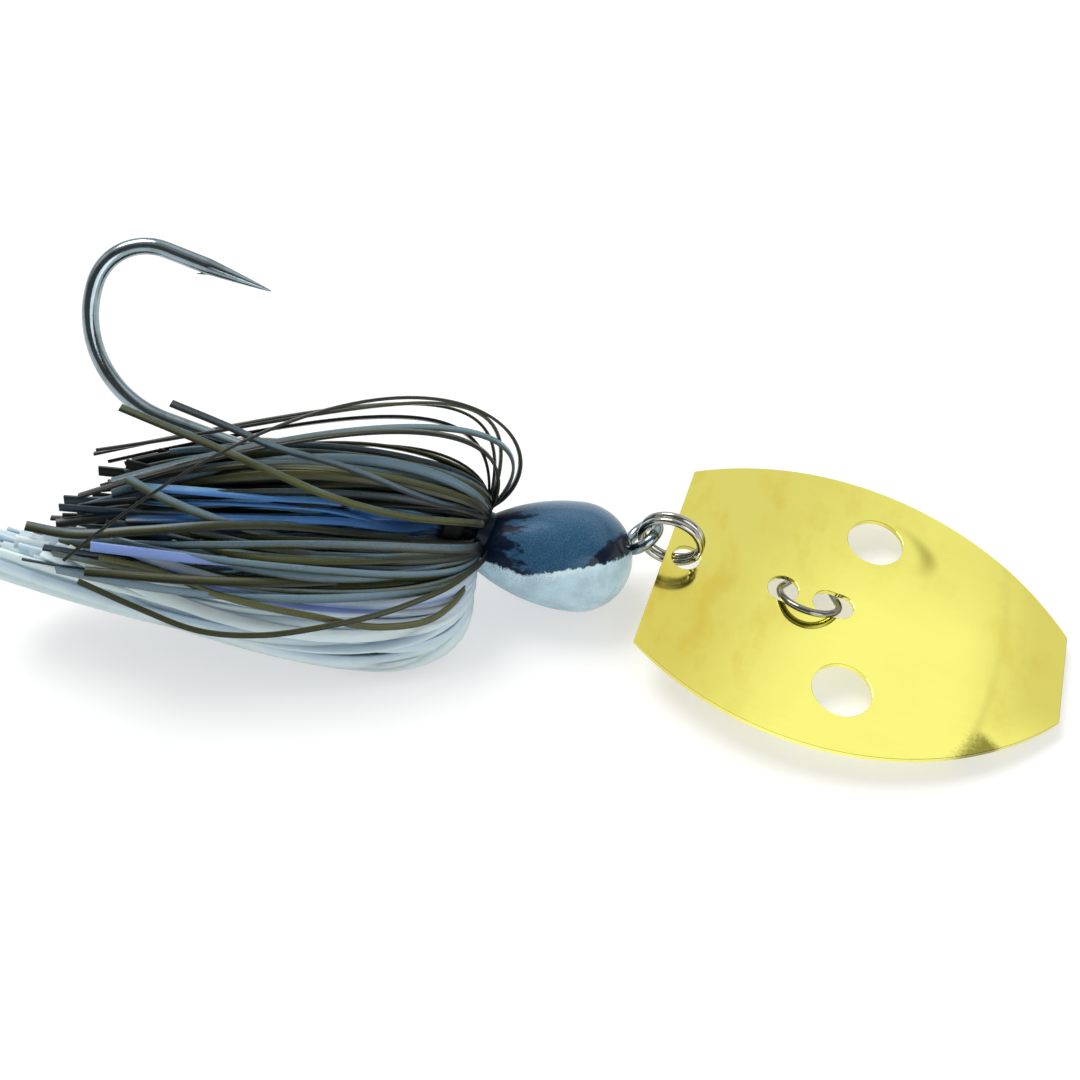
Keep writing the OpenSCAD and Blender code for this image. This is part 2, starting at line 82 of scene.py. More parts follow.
class JigSizes(bpy.types.PropertyGroup):
    """Sizes of the hook, head, ring, blade and snap, the same as those of the solids."""

    hook_wire: length("Hook wire", 1.55, "Diameter of the hook wire")
    hook_gap: length("Hook gap", 14.8, "Distance from the shank to the point leg")
    bend_r: length("Bend", 9.8, "Radius of the bend next to the shank")
    shank: length("Shank", 31.8, "Straight shank behind the head")
    point_leg: length("Point leg", 10, "Straight leg that carries the point")
    taper: length("Needle taper", 6, "Length of the needle taper")
    barb: length("Barb", 0.4, "Height of the barb over the wire")
    barb_len: length("Barb length", 1.6, "Length of the barb")
    barb_root: length("Barb root", 1.4, "How far the root of the barb runs on towards the point")
    needle_r: length("Needle", 0.06, "Radius of the end of the needle")
    shank_in: length("Shank in the head", 12, "Shank up to the bend of the eye leg")
    eye_leg: length("Eye leg", 6.5, "From the bend to the centre of the eye")
    eye_bend: angle("Eye bend", 60, "Angle between the shank and the eye leg")
    eye_bend_r: length("Eye bend radius", 2.5, "Radius of the bend of the eye leg")
    eye_hole: length("Eye", 2.4, "Inside diameter of the eye")
    eye_wire: length("Eye wire", 1.2, "Diameter of the wire round the eye")
    eye_turn: angle("Eye turn", 10, "Turn of the eye about its leg")
    nose_r: length("Nose", 5.5, "Radius of the round front of the head")
    nose_at: length("Nose place", 9.7, "From the back of the head to the centre of its round front")
    back_r: length("Back", 2.6, "Radius of the back of the head")
    head_tilt: angle("Head tilt", 13.4, "Angle between the shank and the axis of the head")
    head_drop: length("Head drop", 0.9, "How far the axis of the head lies below the shank")
    keeper_r: length("Keeper", 1.6, "Radius of the keeper post")
    keeper_tail: length("Keeper tail", 2.6, "Length of the keeper post behind the band")
    shoulder_r: length("Shoulder", 2.7, "Radius of the shoulder in front of the skirt")
    shoulder_back: length("Shoulder back", 0.6, "How far the shoulder stands behind the head")
    shoulder_front: length("Shoulder front", 2, "How far the shoulder reaches into the head")
    ring_r: length("Ring", 3.0, "Radius of the split ring, at the middle of the wire")
    ring_wire: length("Ring wire", 0.72, "Wire of the split ring")
    turn_pitch: length("Turn pitch", 0.74, "Distance between the two turns")
    cross_at: angle("Crossover", 345, "Angle round the ring at which the turns cross over")
    cross_half: angle("Crossover half", 12, "Half the angle that the crossover takes")
    eye_at: angle("Eye place", 195, "Angle round the ring at which it hangs in the eye")
    ring_rise: length("Ring rise", 2.34, "Height of the ring's middle over the blade's middle")
    blade_len: length("Blade length", 39.8, "Length of the blade")
    rear_w: length("Rear edge", 22.8, "Width of the edge next to the ring")
    tip_w: length("Tip edge", 10.2, "Width of the edge at the tip")
    side_r: length("Sides", 30, "Radius of the curved sides")
    blade_t: length("Sheet", 0.55, "Thickness of the sheet")
    ring_hole_at: length("Ring hole place", 2.1, "From the rear edge to the ring hole")
    ring_hole: length("Ring hole", 2.9, "Diameter of the ring hole")
    water_hole: length("Water hole", 5.7, "Diameter of the water holes")
    water_at: length("Water hole place", 19.8, "From the rear edge to the water holes")
    water_side: length("Water hole side", 9.4, "Distance of the water holes from the middle")
    crease_at: length("Crease", 33.8, "From the rear edge to the crease")
    tip_bend: angle("Tip bend", 2, "Bend of the tip at the crease")
    crease_half: length("Crease half", 0.9, "Half the width of the crease")
    edge_soft: length("Soft edge", 0.05, "Rounding of the sheet's edges")
    snap_wire: length("Snap wire", 0.7, "Wire of the snap")
    bow_r: length("Bow", 2.98, "Radius of the bow through the blade")
    line_r: length("Line end", 1.0, "Radius of the line end")
    snap_span: length("Snap span", 4.6, "Between the middles of the bow and the line end")
    snap_at: length("Snap place", 14.8, "From the rear edge to the middle of the snap")
    snap_hole: length("Snap hole", 3.1, "Diameter of the round snap hole")
    slot_w: length("Slot width", 2.9, "Width of the snap slot")
    slot_run: length("Slot run", 1.2, "Straight part of the snap slot")
    hole_shift: length("Hole shift", 0.2, "How far the round snap hole is shifted towards the slot")
    snap_lean: angle("Snap lean", 62, "Lean of the snap from upright")
    lap_air: length("Lap air", 0.1, "Clearance between the lapped ends")
    jig_x: length("Place X", -5.4, "Place of the back of the head along X")
    jig_y: length("Place Y", 3.0, "Place of the back of the head along Y")
    roll: angle("Roll", 50, "Tilt of the hook plane from the table")
    heading: angle("Heading", 8, "Direction of the jig, seen from above")
    dip: angle("Dip", 26.8, "Dip of the shank towards the nose")
    link: angle("Link heading", -19, "Direction of the ring and the blade")
    blade_dip: angle("Blade dip", 4.8, "Dip of the blade towards its tip")


class SkirtSettings(bpy.types.PropertyGroup):
    """Form of the skirt."""

    seed: IntProperty(name="Seed", description="Seed of the strands' small differences", default=11)
    strand_w: length("Strand width", 0.92, "Width of a strand")
    strand_t: length("Strand thickness", 0.3, "Thickness of a strand")
    corner: length("Strand corner", 0.09, "Rounding of a strand's edges")
    layer: length("Layer", 0.38, "Thickness of a layer of strands in the band")
    snug: length("Snug", 0.03, "Clearance between layers")
    band_len: length("Band", 2, "Width of the rubber band")
    turn_gap: length("Turn gap", 1.4, "Gap between the shoulder and the band")
    fold_ahead: length("Fold", 1.9, "How far ahead of the band the strands fold")
    fold_out: length("Fold out", 1, "How far ahead of its root a fold swings")
    grip: length("Grip", 0.3, "How far from the band's edge the strands start")
    ahead: length("Ahead", 0.4, "How far ahead of the band a strand runs straight")
    way: length("Way", 16, "How far back the outer strands swell most")
    way_vary: length("Way vary", 4, "How much that place varies")
    core_lead: length("Core lead", 5, "How far back the inner strands keep close to the keeper")
    core_lift: length("Core lift", 1.2, "How far they rise over it there")
    core_way: length("Core way", 20, "How far back the inner strands swell most")
    sway: length("Sway", 1.1, "Sway of the strands on their way back")
    lie: length("Lie", 0.3, "Lowest height of the outer strands over the table")
    lie_vary: length("Lie vary", 1.6, "How much that height varies")
    core_lie: length("Core lie", 0.6, "Lowest height of the inner strands over the table")
    lay_soft: length("Lay", 1.2, "How softly the strands bend where they come to lie")
    tail_less: length("Tail less", 9, "How much shorter a strand may be")
    tail_more: length("Tail more", 3, "How much longer an outer strand may be")
    core_more: length("Core more", 2, "How much longer an inner strand may be")
    belly_even: length("Belly even", 4, "How much less short the belly strands may be")
    belly_more: length("Belly more", 2, "How much longer still the belly strands may be")
    reach: length("Reach", 39.5, "Reach of the skirt behind the head")
    belly: length("Belly", 5.5, "How much longer the belly strands are")
    top_less: length("Top", 6, "How much shorter the top strands are")
    side_less: length("Side", 8, "How much shorter the strands of the near side are")
    up: length("Swell up", 10.5, "Swell above the hook plane's middle")
    down: length("Swell down", 15, "Swell below it")
    side: length("Swell side", 8, "Swell to either side")
    rise: length("Tail rise", 4.5, "Height of the tail over the collar")
    spread: length("Tail spread", 7.5, "Spread of the tail above its middle and to the sides")
    drop: length("Tail drop", 1, "Spread of the tail below its middle")
    core_over: length("Core over", 1.5, "How far the tail of the inner strands lies over the others' tail")
    core_drop: length("Core drop", 3, "Spread of the inner strands' tail below its middle")


class Finishes(bpy.types.PropertyGroup):
    """Colours of the materials and of the stage."""

    # The first brass is the bright painted reflection across the blade's middle; the next is the brass away
    # from that reflection
    brass: colour("Brass", (255, 250, 130), "Polished brass")
    brass_off_highlight: colour("Dull brass", (221, 213, 108), "Brass away from its bright middle")
    brass_amber: colour("Amber brass", (214, 190, 72), "Tarnish on the brass")
    # Painted shade at the crease and painted dark reflections on the blade
    brass_painted_shade: colour("Dark brass", (116, 108, 40), "Brass at the crease and in its marks")
    steel: colour("Steel", (196, 196, 188), "Spring steel")
    hook: colour("Hook", (146, 162, 168), "Dark nickel of the hook")
    paint: colour("Paint", (36, 78, 110), "Dark paint on the head")
    # The pale blue of the light flakes, of the painted sheen along the top of the head and of the cloud on
    # its belly
    paint_flake_and_sheen: colour("Paint rim", (96, 130, 152), "Paint where it thins")
    navy: colour("Navy", (4, 10, 32), "Dark streaks in the paint")
    belly: colour("Belly", (208, 238, 250), "Pale belly of the head")
    olive: colour("Olive", (86, 90, 46), "Olive silicone")
    slate: colour("Slate", (112, 140, 154), "Blue-grey silicone")
    # Also the colour of the painted shade on the strands
    dark: colour("Dark", (7, 15, 15), "Dark silicone")
    blue: colour("Blue", (84, 148, 222), "Blue silicone")
    sky: colour("Sky", (156, 212, 248), "Pale blue silicone")
    lilac: colour("Lilac", (142, 170, 238), "Lilac silicone")
    white: colour("White", (230, 252, 255), "White silicone")
    mist: colour("Mist", (204, 224, 240), "Pale grey-lilac silicone")
    rubber: colour("Rubber", (14, 16, 15), "Rubber of the band")
    floor: colour("Floor", (198, 198, 198), "Table")


class StageSettings(bpy.types.PropertyGroup):
    """Table, lamps and camera."""

    table_half: length("Table", 1200, "Half the width of the table")
    key_power: FloatProperty(name="Key lamp", description="Power of the lamp behind the part", default=1.6,
                             unit="POWER")
    fill_power: FloatProperty(name="Fill lamp", description="Power of the lamp on the camera's side",
                              default=0.8, unit="POWER")
    camera_place: FloatVectorProperty(name="Camera", description="Place of the camera", size=3, precision=5,
                                      default=(0.000538, -0.076531, 0.103982), unit="LENGTH",
                                      subtype="TRANSLATION")
    elevation: angle("Elevation", 50.567, "How steeply the camera looks down")
    focal: FloatProperty(name="Focal length", description="Focal length in pixels", default=1270)
    picture: IntProperty(name="Picture", description="Width of the picture in pixels", default=1080)


class Frames:
    """The frames of the jig, shank, head, ring, blade and snap at rest, from the sizes."""

    def __init__(self, s):
        turn = Matrix.Rotation
        head_axis = Matrix.Translation((s.head_drop * math.sin(s.dip), -s.head_drop * math.cos(s.dip), 0))
        head_axis = head_axis @ turn(s.head_tilt, 4, "Z")
        hang = turn(s.heading, 4, "Z") @ turn(s.roll, 4, "X")
        dipped = hang @ turn(-s.dip, 4, "Z")
        nose = dipped @ head_axis @ Vector((s.nose_at, 0, 0))
        self.height = s.nose_r - nose.z
        place = Matrix.Translation((s.jig_x, s.jig_y, self.height))
        self.jig = place @ hang
        self.shank = place @ dipped
        self.head = self.shank @ head_axis
        self.eye_leg = Vector((math.cos(s.eye_bend), math.sin(s.eye_bend), 0))
        self.eye = Vector((s.shank_in, 0, 0)) + s.eye_leg * self.eye_leg
        hole_at = -math.asin(s.ring_rise / s.ring_r) - s.blade_dip
        ring_spot = self.shank @ self.eye - self.round_ring(s, s.eye_at)
        hole_spot = ring_spot + self.round_ring(s, hole_at)
        self.ring = Matrix.Translation(ring_spot) @ turn(s.link, 4, "Z") @ turn(math.pi / 2, 4, "X")
        self.blade = (Matrix.Translation(hole_spot) @ turn(s.link, 4, "Z") @ turn(s.blade_dip, 4, "Y")
                      @ Matrix.Translation((-s.ring_hole_at, 0, 0)))
        self.snap = (self.blade @ Matrix.Translation((s.snap_at, 0, 0))
                     @ turn(s.snap_lean + math.pi / 2, 4, "X"))

    @staticmethod
    def round_ring(s, a):
        """From the middle of the ring to its wire at an angle."""
        flat = math.cos(a)
        return s.ring_r * Vector((flat * math.cos(s.link), flat * math.sin(s.link), math.sin(a)))


# Meshes

def add_object(name, data):
    """An object in the scene from its mesh, curve, lamp or camera."""
    made = bpy.data.objects.new(name, data)
    bpy.context.scene.collection.objects.link(made)
    return made


def mesh_from(name, points, faces, smooth=True):
    mesh = bpy.data.meshes.new(name)
    mesh.from_pydata([tuple(p) for p in points], [], faces)
    mesh.polygons.foreach_set("use_smooth", [smooth] * len(mesh.polygons))
    mesh.update()
    return mesh


def store(mesh, name, values, kind="FLOAT"):
    """Stores one value or vector a point under a name that nodes and materials read."""
    attribute = mesh.attributes.new(name, kind, "POINT")
    field = "vector" if kind == "FLOAT_VECTOR" else "value"
    attribute.data.foreach_set(field, np.asarray(values, np.float32).ravel())


def arc(centre, radius, start, end, steps):
    """Points of an arc in the XY plane."""
    turns = np.linspace(start, end, steps)
    return [Vector((centre[0] + radius * math.cos(a), centre[1] + radius * math.sin(a), 0)) for a in turns]


def circle(centre, radius, steps=64):
    """Points once round a circle in the XY plane."""
    return arc(centre, radius, 0, 2 * math.pi, steps + 1)[:-1]


def line(start, end, steps):
    return [Vector(start).lerp(Vector(end), i / (steps - 1)) for i in range(steps)]


def joined(*runs):
    """Runs of points end to end, without the points that repeat."""
    made = []
    for point in (p for run in runs for p in run):
        if not made or (point - made[-1]).length > SAME:
            made.append(point)
    return made


def unit(rows):
    """Rows of vectors, each with a length of one."""
    return rows / np.linalg.norm(rows, axis=1)[:, None]


def sweep(points, radii, sides=20, closed=False):
    """A round tube along points: its points and its faces."""
    spots = np.array([tuple(p) for p in points])
    count = len(spots)
    ahead = np.roll(spots, -1, 0) - spots
    if not closed:
        ahead[-1] = ahead[-2]
    behind = np.roll(ahead, 1, 0)
    if not closed:
        behind[0] = ahead[0]
    tangent = unit(unit(ahead) + unit(behind))
    aside = (0.31, 0.57, 0.76)
    normal = np.cross(tangent[0], aside)
    around = np.linspace(0, 2 * np.pi, sides, endpoint=False)
    made = []
    for i in range(count):
        normal = normal - tangent[i] * (normal @ tangent[i])
        normal /= np.linalg.norm(normal)
        across = np.cross(tangent[i], normal)
        ring = np.outer(np.cos(around), normal) + np.outer(np.sin(around), across)
        made.append(spots[i] + radii[i] * ring)
    faces = []
    for i in range(count if closed else count - 1):
        here, there = i * sides, (i + 1) % count * sides
        for k in range(sides):
            step = (k + 1) % sides
            faces.append((here + k, here + step, there + step, there + k))
    if not closed:
        faces.append(tuple(range(sides))[::-1])
        faces.append(tuple((count - 1) * sides + k for k in range(sides)))
    return np.concatenate(made), faces


def lathe(profile, sides=96):
    """A surface turned round the X axis from (x, radius) pairs."""
    around = np.linspace(0, 2 * np.pi, sides, endpoint=False)
    points, faces = [], []
    for x, r in profile:
        points += [(x, r * math.cos(a), r * math.sin(a)) for a in around]
    for i in range(len(profile) - 1):
        for k in range(sides):
            a, b = i * sides + k, i * sides + (k + 1) % sides
            faces.append((a, a + sides, b + sides, b))
    return np.array(points), faces


def placed(matrix, points):
    """Points carried from one frame into another."""
    turn = np.array(matrix.to_3x3())
    return np.array([tuple(p) for p in points]) @ turn.T + np.array(matrix.translation)


def combined(name, parts):
    """One mesh from (points, faces) parts, smooth but for its sharp edges."""
    points, faces, base = [], [], 0
    for spots, sides in parts:
        points.append(np.asarray(spots))
        faces += [tuple(base + k for k in f) for f in sides]
        base += len(spots)
    mesh = mesh_from(name, np.concatenate(points), faces)
    mesh.set_sharp_from_angle(angle=math.radians(40))
    return mesh


def made_mesh(holder):
    """The finished mesh of an object, which is removed."""
    mesh = bpy.data.meshes.new_from_object(holder.evaluated_get(bpy.context.evaluated_depsgraph_get()))
    bpy.data.objects.remove(holder)
    return mesh


# Materials

def feed(tree, socket, value):
    """Links an input to a socket or a shader value, or sets it."""
    value = getattr(value, "socket", value)
    if isinstance(value, bpy.types.NodeSocket):
        tree.links.new(value, socket)
    elif socket.type == "RGBA" and len(value) == 3:
        socket.default_value = (*value, 1.0)
    else:
        socket.default_value = value


def add_node(tree, kind, inputs=None, stops=(), **settings):
    """Any node: its settings and the grey stops of a ramp first, then its inputs by name or number."""
    made = tree.nodes.new(kind)
    for key, value in settings.items():
        setattr(made, key, value)
    if stops:
        elements = made.color_ramp.elements
        elements[0].position = stops[0][0]
        elements[1].position = stops[-1][0]
        for place, level in stops[1:-1]:
            elements.new(place)
        for element, (place, level) in zip(elements, stops):
            element.color = (level, level, level, 1)
    for key, value in (inputs or {}).items():
        feed(tree, made.inputs[key], value)
    return made


class Val:
    """A shader value with arithmetic: each operator adds a Math node."""

    def __init__(self, look, socket):
        self.look = look
        self.socket = socket

    def math(self, operation, *others):
        node = self.look.node("ShaderNodeMath", dict(enumerate((self, *others))), operation=operation)
        return Val(self.look, node.outputs[0])

    def __add__(self, value):
        return self.math("ADD", value)

    def __sub__(self, value):
        return self.math("SUBTRACT", value)

    def __rsub__(self, value):
        node = self.look.node("ShaderNodeMath", {0: value, 1: self}, operation="SUBTRACT")
        return Val(self.look, node.outputs[0])

    def __mul__(self, value):
        return self.math("MULTIPLY", value)

    __radd__ = __add__
    __rmul__ = __mul__

    def least(self, value):
        return self.math("MINIMUM", value)

    def most(self, value):
        return self.math("MAXIMUM", value)

    def step(self, low, high):
        """0 below low, 1 above high and smooth between. Low may be the larger."""
        node = self.look.node("ShaderNodeMapRange", {0: self, 1: low, 2: high, 3: 0.0, 4: 1.0},
                              interpolation_type="SMOOTHSTEP")
        return Val(self.look, node.outputs[0])

    def bump(self, middle, width):
        """1 at middle, falling smoothly to 0 at a distance of width."""
        return (self - middle).math("ABSOLUTE").step(width, 0)


class Look:
    """A material with one Principled shader."""

    def __init__(self, name, **constants):
        self.material = bpy.data.materials.new(name)
        self.material.use_nodes = True
        self.tree = self.material.node_tree
        self.shader = self.tree.nodes["Principled BSDF"]
        for key, value in constants.items():
            self.shader.inputs[key.replace("_", " ")].default_value = value

    def node(self, kind, inputs=None, **settings):
        return add_node(self.tree, kind, inputs, **settings)

    def set(self, name, value):
        feed(self.tree, self.shader.inputs[name], value)

    def scaled(self, vector, scale):
        return self.node("ShaderNodeVectorMath", {0: vector, 1: scale}, operation="MULTIPLY").outputs[0]

    def place(self):
        """The place on the object in millimetres."""
        return self.scaled(self.node("ShaderNodeTexCoord").outputs["Object"], [1 / MM] * 3)

    def spot(self, scale=(1, 1, 1)):
        """The place in the piece's own frame in millimetres, stretched by scale."""
        return self.scaled(self.node("ShaderNodeAttribute", attribute_name="spot").outputs["Vector"], scale)

    def value(self, name):
        """A value that the piece's points carry."""
        return Val(self, self.node("ShaderNodeAttribute", attribute_name=name).outputs["Fac"])

    def split(self, vector):
        made = self.node("ShaderNodeSeparateXYZ", {0: vector})
        return [Val(self, made.outputs[i]) for i in range(3)]

    def noise(self, vector, scale, detail=3.0, roughness=0.55):
        made = self.node("ShaderNodeTexNoise", {"Vector": vector, "Scale": scale, "Detail": detail,
                                                "Roughness": roughness})
        return Val(self, made.outputs["Fac"])

    def mix(self, share, a, b):
        made = self.node("ShaderNodeMix", {0: share, 6: a, 7: b}, data_type="RGBA")
        return made.outputs[2]

    def relief(self, height, distance, strength=1.0):
        made = self.node("ShaderNodeBump", {"Height": height, "Distance": distance, "Strength": strength})
        self.set("Normal", made.outputs["Normal"])

    def give(self, piece):
        piece.data.materials.clear()
        piece.data.materials.append(self.material)


def finish_steel(name, tone, bright, dull, roughness, coat=0.0):
    """Steel wire with a little tarnish and small pits."""
    look = Look(name, Metallic=1.0, Coat_Weight=coat)
    tarnish = look.noise(look.place(), 0.5, 4.0).step(0.2, 0.6)
    pits = look.noise(look.place(), 9.0, 2.0)
    look.set("Base Color", look.mix(tarnish, [dull * c for c in tone], [bright * c for c in tone]))
    look.set("Roughness", roughness + 0.12 * pits.step(0.45, 0.75))
    look.relief(pits, 0.02 * MM, 0.25)
    return look


def finish_rubber(f):
    """Matt rubber with a little dust."""
    look = Look("band_rubber", Specular_IOR_Level=0.3)
    dust = look.noise(look.place(), 2.0, 4.0)
    look.set("Base Color", look.mix(0.4 * dust.step(0.4, 0.7), f.rubber, f.dark))
    look.set("Roughness", 0.5 + 0.3 * dust)
    return look


def finish_brass(f):
    """Polished sheet with a bright painted reflection across its middle, streaks, pits and tarnish, painted
    shade along the crease and painted dark reflections.
    """
    look = Look("brass", Metallic=1.0)
    spot = look.spot()
    x, y = look.split(spot)[:2]
    streaks = look.noise(look.spot((0.08, 1.6, 1.0)), 1.0, 4.0)
    cloud = look.noise(spot, 0.11, 2.0)
    speck = look.noise(spot, 3.2, 3.0, 0.6)
    pit = speck.step(0.74, 0.8)
    # A painted dark reflection in an arc beside the far water hole, where the brass is also a little rougher
    bow = 25.3 - 0.2 * (y - 8.5) * (y - 8.5)
    reflected_arc = (x - bow).bump(0, 1.5) * (y - 9.6).bump(0, 3.6)
    # Painted shade along the crease, darker towards the near edge, and a painted dark reflection in a wedge
    # at its near end
    fold = 33.7 - 0.009 * (y - 3.0) * (y - 3.0)
    crease = (x - fold).bump(0, 0.7) * (0.3 + 0.7 * y.step(4.0, -8.0))
    under = -8.6 - y
    wedge_shape = (x - 34.0 + 0.48 * (y + 11.4)).math("ABSOLUTE") - 0.95 * under + 1.6 * (speck - 0.5)
    reflected_wedge = wedge_shape.step(0.8, -1.4) * under.step(-0.4, 1.4)
    # Painted reflection: bright in the middle and along the near edge, less so on the far side
    far = y.step(-2.0, 12.0)
    near = y.step(-3.0, -12.0) * x.step(6.0, 20.0)
    painted_reflection = (x - 0.25 * y).step(5.0, 21.0) * x.step(38.0, 29.0) * (1.0 - 0.55 * far)
    # Away from the painted reflection, and with cloud, streaks and pits; the brass is a little rougher there
    # too
    dull = 1.0 - painted_reflection.most(near) + 0.25 * (cloud - 0.5) + 0.12 * (streaks - 0.5) + 0.15 * pit
    dull = dull.most(0.0).least(1.0)
    amber = look.noise(look.spot((1.0, 0.5, 1.0)), 0.25, 4.0, 0.6).step(0.46, 0.7)
    # More amber at the rear on the near side, and a little at the tip
    amber_rear_and_tip = x.step(14.0, 2.0) * y.step(2.0, -8.0) + 0.3 * x.step(34.0, 38.0)
    tone = look.mix(dull, f.brass, f.brass_off_highlight)
    tone = look.mix((0.5 * amber * dull + 0.3 * amber_rear_and_tip).least(1.0), tone, f.brass_amber)
    tone = look.mix((0.5 * reflected_arc + 0.14 * crease + 0.85 * reflected_wedge).least(1.0), tone, f.brass_painted_shade)
    look.set("Base Color", tone)
    look.set("Roughness", 0.07 + 0.04 * dull + 0.08 * reflected_arc)
    look.relief(0.008 * streaks + 0.003 * speck + 0.04 * cloud, 0.1 * MM)
    return look


def finish_paint(f):
    """Dark flake paint over a pale belly, speckled at its edge, with navy streaks from the collar, painted
    shade next to the collar, a painted sheen along the top and a painted highlight on the belly.
    """
    look = Look("head_paint", Coat_Roughness=0.08, Specular_IOR_Level=0.1)
    spot = look.spot()
    x, y = look.split(spot)[:2]
    ragged = look.noise(spot, 1.7, 6.0, 0.75)
    spray = look.noise(spot, 9.0, 2.0, 0.6)
    cloud = look.noise(spot, 0.35, 3.0)
    streak = look.noise(look.spot((0.13, 1.3, 1.3)), 1.0, 2.0)
    # The height over the ragged edge between belly and paint
    edge = y + 1.7 - 0.3 * (x - 4.0).most(0.0) - 0.2 * (4.0 - x).most(0.0) + 1.4 * (ragged - 0.5)
    mist = edge.step(-1.4, 0.2) * x.step(9.0, 5.0) * spray.step(0.58, 0.62)
    cover = edge.step(-0.12, 0.12).most(mist)
    # Painted sheen: paler paint along the top, where there is also more coat
    rim = y.step(3.4, 5.3)
    blue = look.mix(0.4 * spray.step(0.44, 0.66) + 0.4 * rim, f.paint, f.paint_flake_and_sheen)
    # Navy streaks at the collar with painted shade next to it, a patch at the nose and a line over the belly
    claws_and_collar_shade = (streak + 0.24 - 0.08 * x).step(0.44, 0.58).most(x.step(2.6, 0.8))
    front = (edge + 1.2 * (ragged - 0.5) - 0.8 * (x - 9.4)).step(0.3, 0.0)
    nose = edge.step(0.0, 0.15) * front * edge.step(2.2, 1.8)
    seam = edge.step(-0.1, 0.1) * edge.step(0.7, 0.3) * x.step(5.5, 4.0)
    blue = look.mix((0.92 * claws_and_collar_shade.most(nose).most(seam)).least(1.0), blue, f.navy)
    pale = look.mix(0.3 * cloud.step(0.35, 0.7) + 0.25 * spray.step(0.5, 0.7), f.belly, f.paint_flake_and_sheen)
    # Painted highlight: the belly is whiter along the paint's edge towards the middle of the head
    bright = edge.step(-1.0, -0.1) * (x - 7.5).bump(0, 4.0)
    pale = look.mix(0.9 * bright, pale, f.white)
    # Bare metal at the tip of the nose
    chip = (x - 15.2).step(-0.5, -0.1)
    look.set("Base Color", look.mix(0.6 * chip, look.mix(cover, pale, blue), f.steel))
    look.set("Metallic", 0.15 * cover + 0.3 * chip)
    look.set("Roughness", 0.34 + 0.12 * spray)
    look.set("Coat Weight", 0.08 + 0.4 * rim.most(x.step(8.0, 11.0)))
    look.relief(spray + 2.0 * cover, 0.02 * MM, 0.35)
    return look


def finish_silicone(f, name, main, second, share, translucent, shade, tip):
    """Silicone in two tones with a tint and fine flake, with painted shade at the root, along the lower edge,
    at the tip and deep inside.
    """
    look = Look(name, IOR=1.42, Specular_IOR_Level=0.5, Subsurface_Weight=translucent,
                Subsurface_Radius=(1.0, 1.0, 1.0), Subsurface_Scale=0.8 * MM)
    tint = look.value("tint")
    along = look.value("along")
    side = look.value("side")
    deep = look.value("deep").step(0.1, 0.7)
    flake = look.noise(look.place(), 5.0, 2.0, 0.6)
    cloud = look.noise(look.place(), 0.3, 2.0)
    turned = (3.0 * (tint - 1 + share) - 1.6 * side + 1.2 * (cloud - 0.5)).step(-0.6, 0.6)
    tone = look.mix(turned, main, second)
    plain = (tint * 7.0).math("FRACT").step(0.85, 0.1)
    # Painted shade near the band and along each strand's lower edge
    root = along.step(8.0, 1.5)
    under = side.step(0.05, 0.5)
    # Plain strands and flake are darker in their own colour; the root, the lower edge, the depth in the skirt
    # and the tip get painted shade
    dim = 0.55 * plain + 0.5 * under + 0.25 * flake.step(0.58, 0.7) + 0.9 * root + 0.95 * deep
    dark = (shade * dim.least(0.96) + tip * along.step(22.0, 32.0)).least(0.96)
    look.set("Base Color", look.mix(dark, tone, f.dark))
    look.set("Roughness", 0.22 + 0.2 * cloud)
    look.relief(flake, 0.03 * MM, 0.3 * shade)
    return look


# Pieces

def hook_mesh(s, frames):
    """The hook as one swept wire with its eye and barb."""
    wire = s.hook_wire / 2
    set_back = s.eye_bend_r * math.tan(s.eye_bend / 2)
    tip_r = s.hook_gap - s.bend_r
    bend_x = -s.shank - s.bend_r + tip_r
    eye_r = (s.eye_hole + s.eye_wire) / 2
    leg_end = frames.eye - eye_r * frames.eye_leg
    leg_start = Vector((s.shank_in, 0, 0)) + set_back * frames.eye_leg
    leg = line(leg_end, leg_start, 12)
    turn = arc((s.shank_in - set_back, s.eye_bend_r), s.eye_bend_r,
               s.eye_bend - math.pi / 2, -math.pi / 2, 16)
    shank = line((s.shank_in - set_back, 0, 0), (-s.shank, 0, 0), 40)
    bend = arc((-s.shank, s.bend_r), s.bend_r, 1.5 * math.pi, math.pi, 48)
    tip_bend = arc((bend_x, s.bend_r), tip_r, math.pi, 0.5 * math.pi, 36)
    point = line((bend_x, s.hook_gap, 0), (bend_x + s.point_leg, s.hook_gap, 0), 40)
    path = joined(leg, turn, shank, bend, tip_bend, point)
    radii = []
    for i, p in enumerate(path):
        share = min(1, i / (len(leg) - 1))
        r = s.eye_wire / 2 + (wire - s.eye_wire / 2) * share
        left = bend_x + s.point_leg - p.x
        if p.y > s.hook_gap - 1e-6 and left < s.taper:
            r = s.needle_r + (wire - s.needle_r) * (left / s.taper) ** 0.85
        radii.append(r)
    around = (Matrix.Translation(frames.eye) @ Matrix.Rotation(s.eye_bend, 4, "Z")
              @ Matrix.Rotation(s.eye_turn + math.pi / 2, 4, "X"))
    eye_path = [around @ p for p in circle((0, 0), eye_r)]
    barb_x = bend_x + s.point_leg - s.taper
    inner = s.hook_gap - wire
    barb_path = line((barb_x - s.barb_len / 2, inner - 0.6 * s.barb, 0),
                     (barb_x + s.barb_root, inner + s.barb_root / 2, 0), 6)
    tubes = (sweep(path, radii, 28), sweep(eye_path, [s.eye_wire / 2] * len(eye_path), 24, True),
             sweep(barb_path, np.linspace(0.04 * MM, 0.3 * MM, len(barb_path)), 10))
    return combined("hook_wire", [(placed(frames.shank, points), faces) for points, faces in tubes])


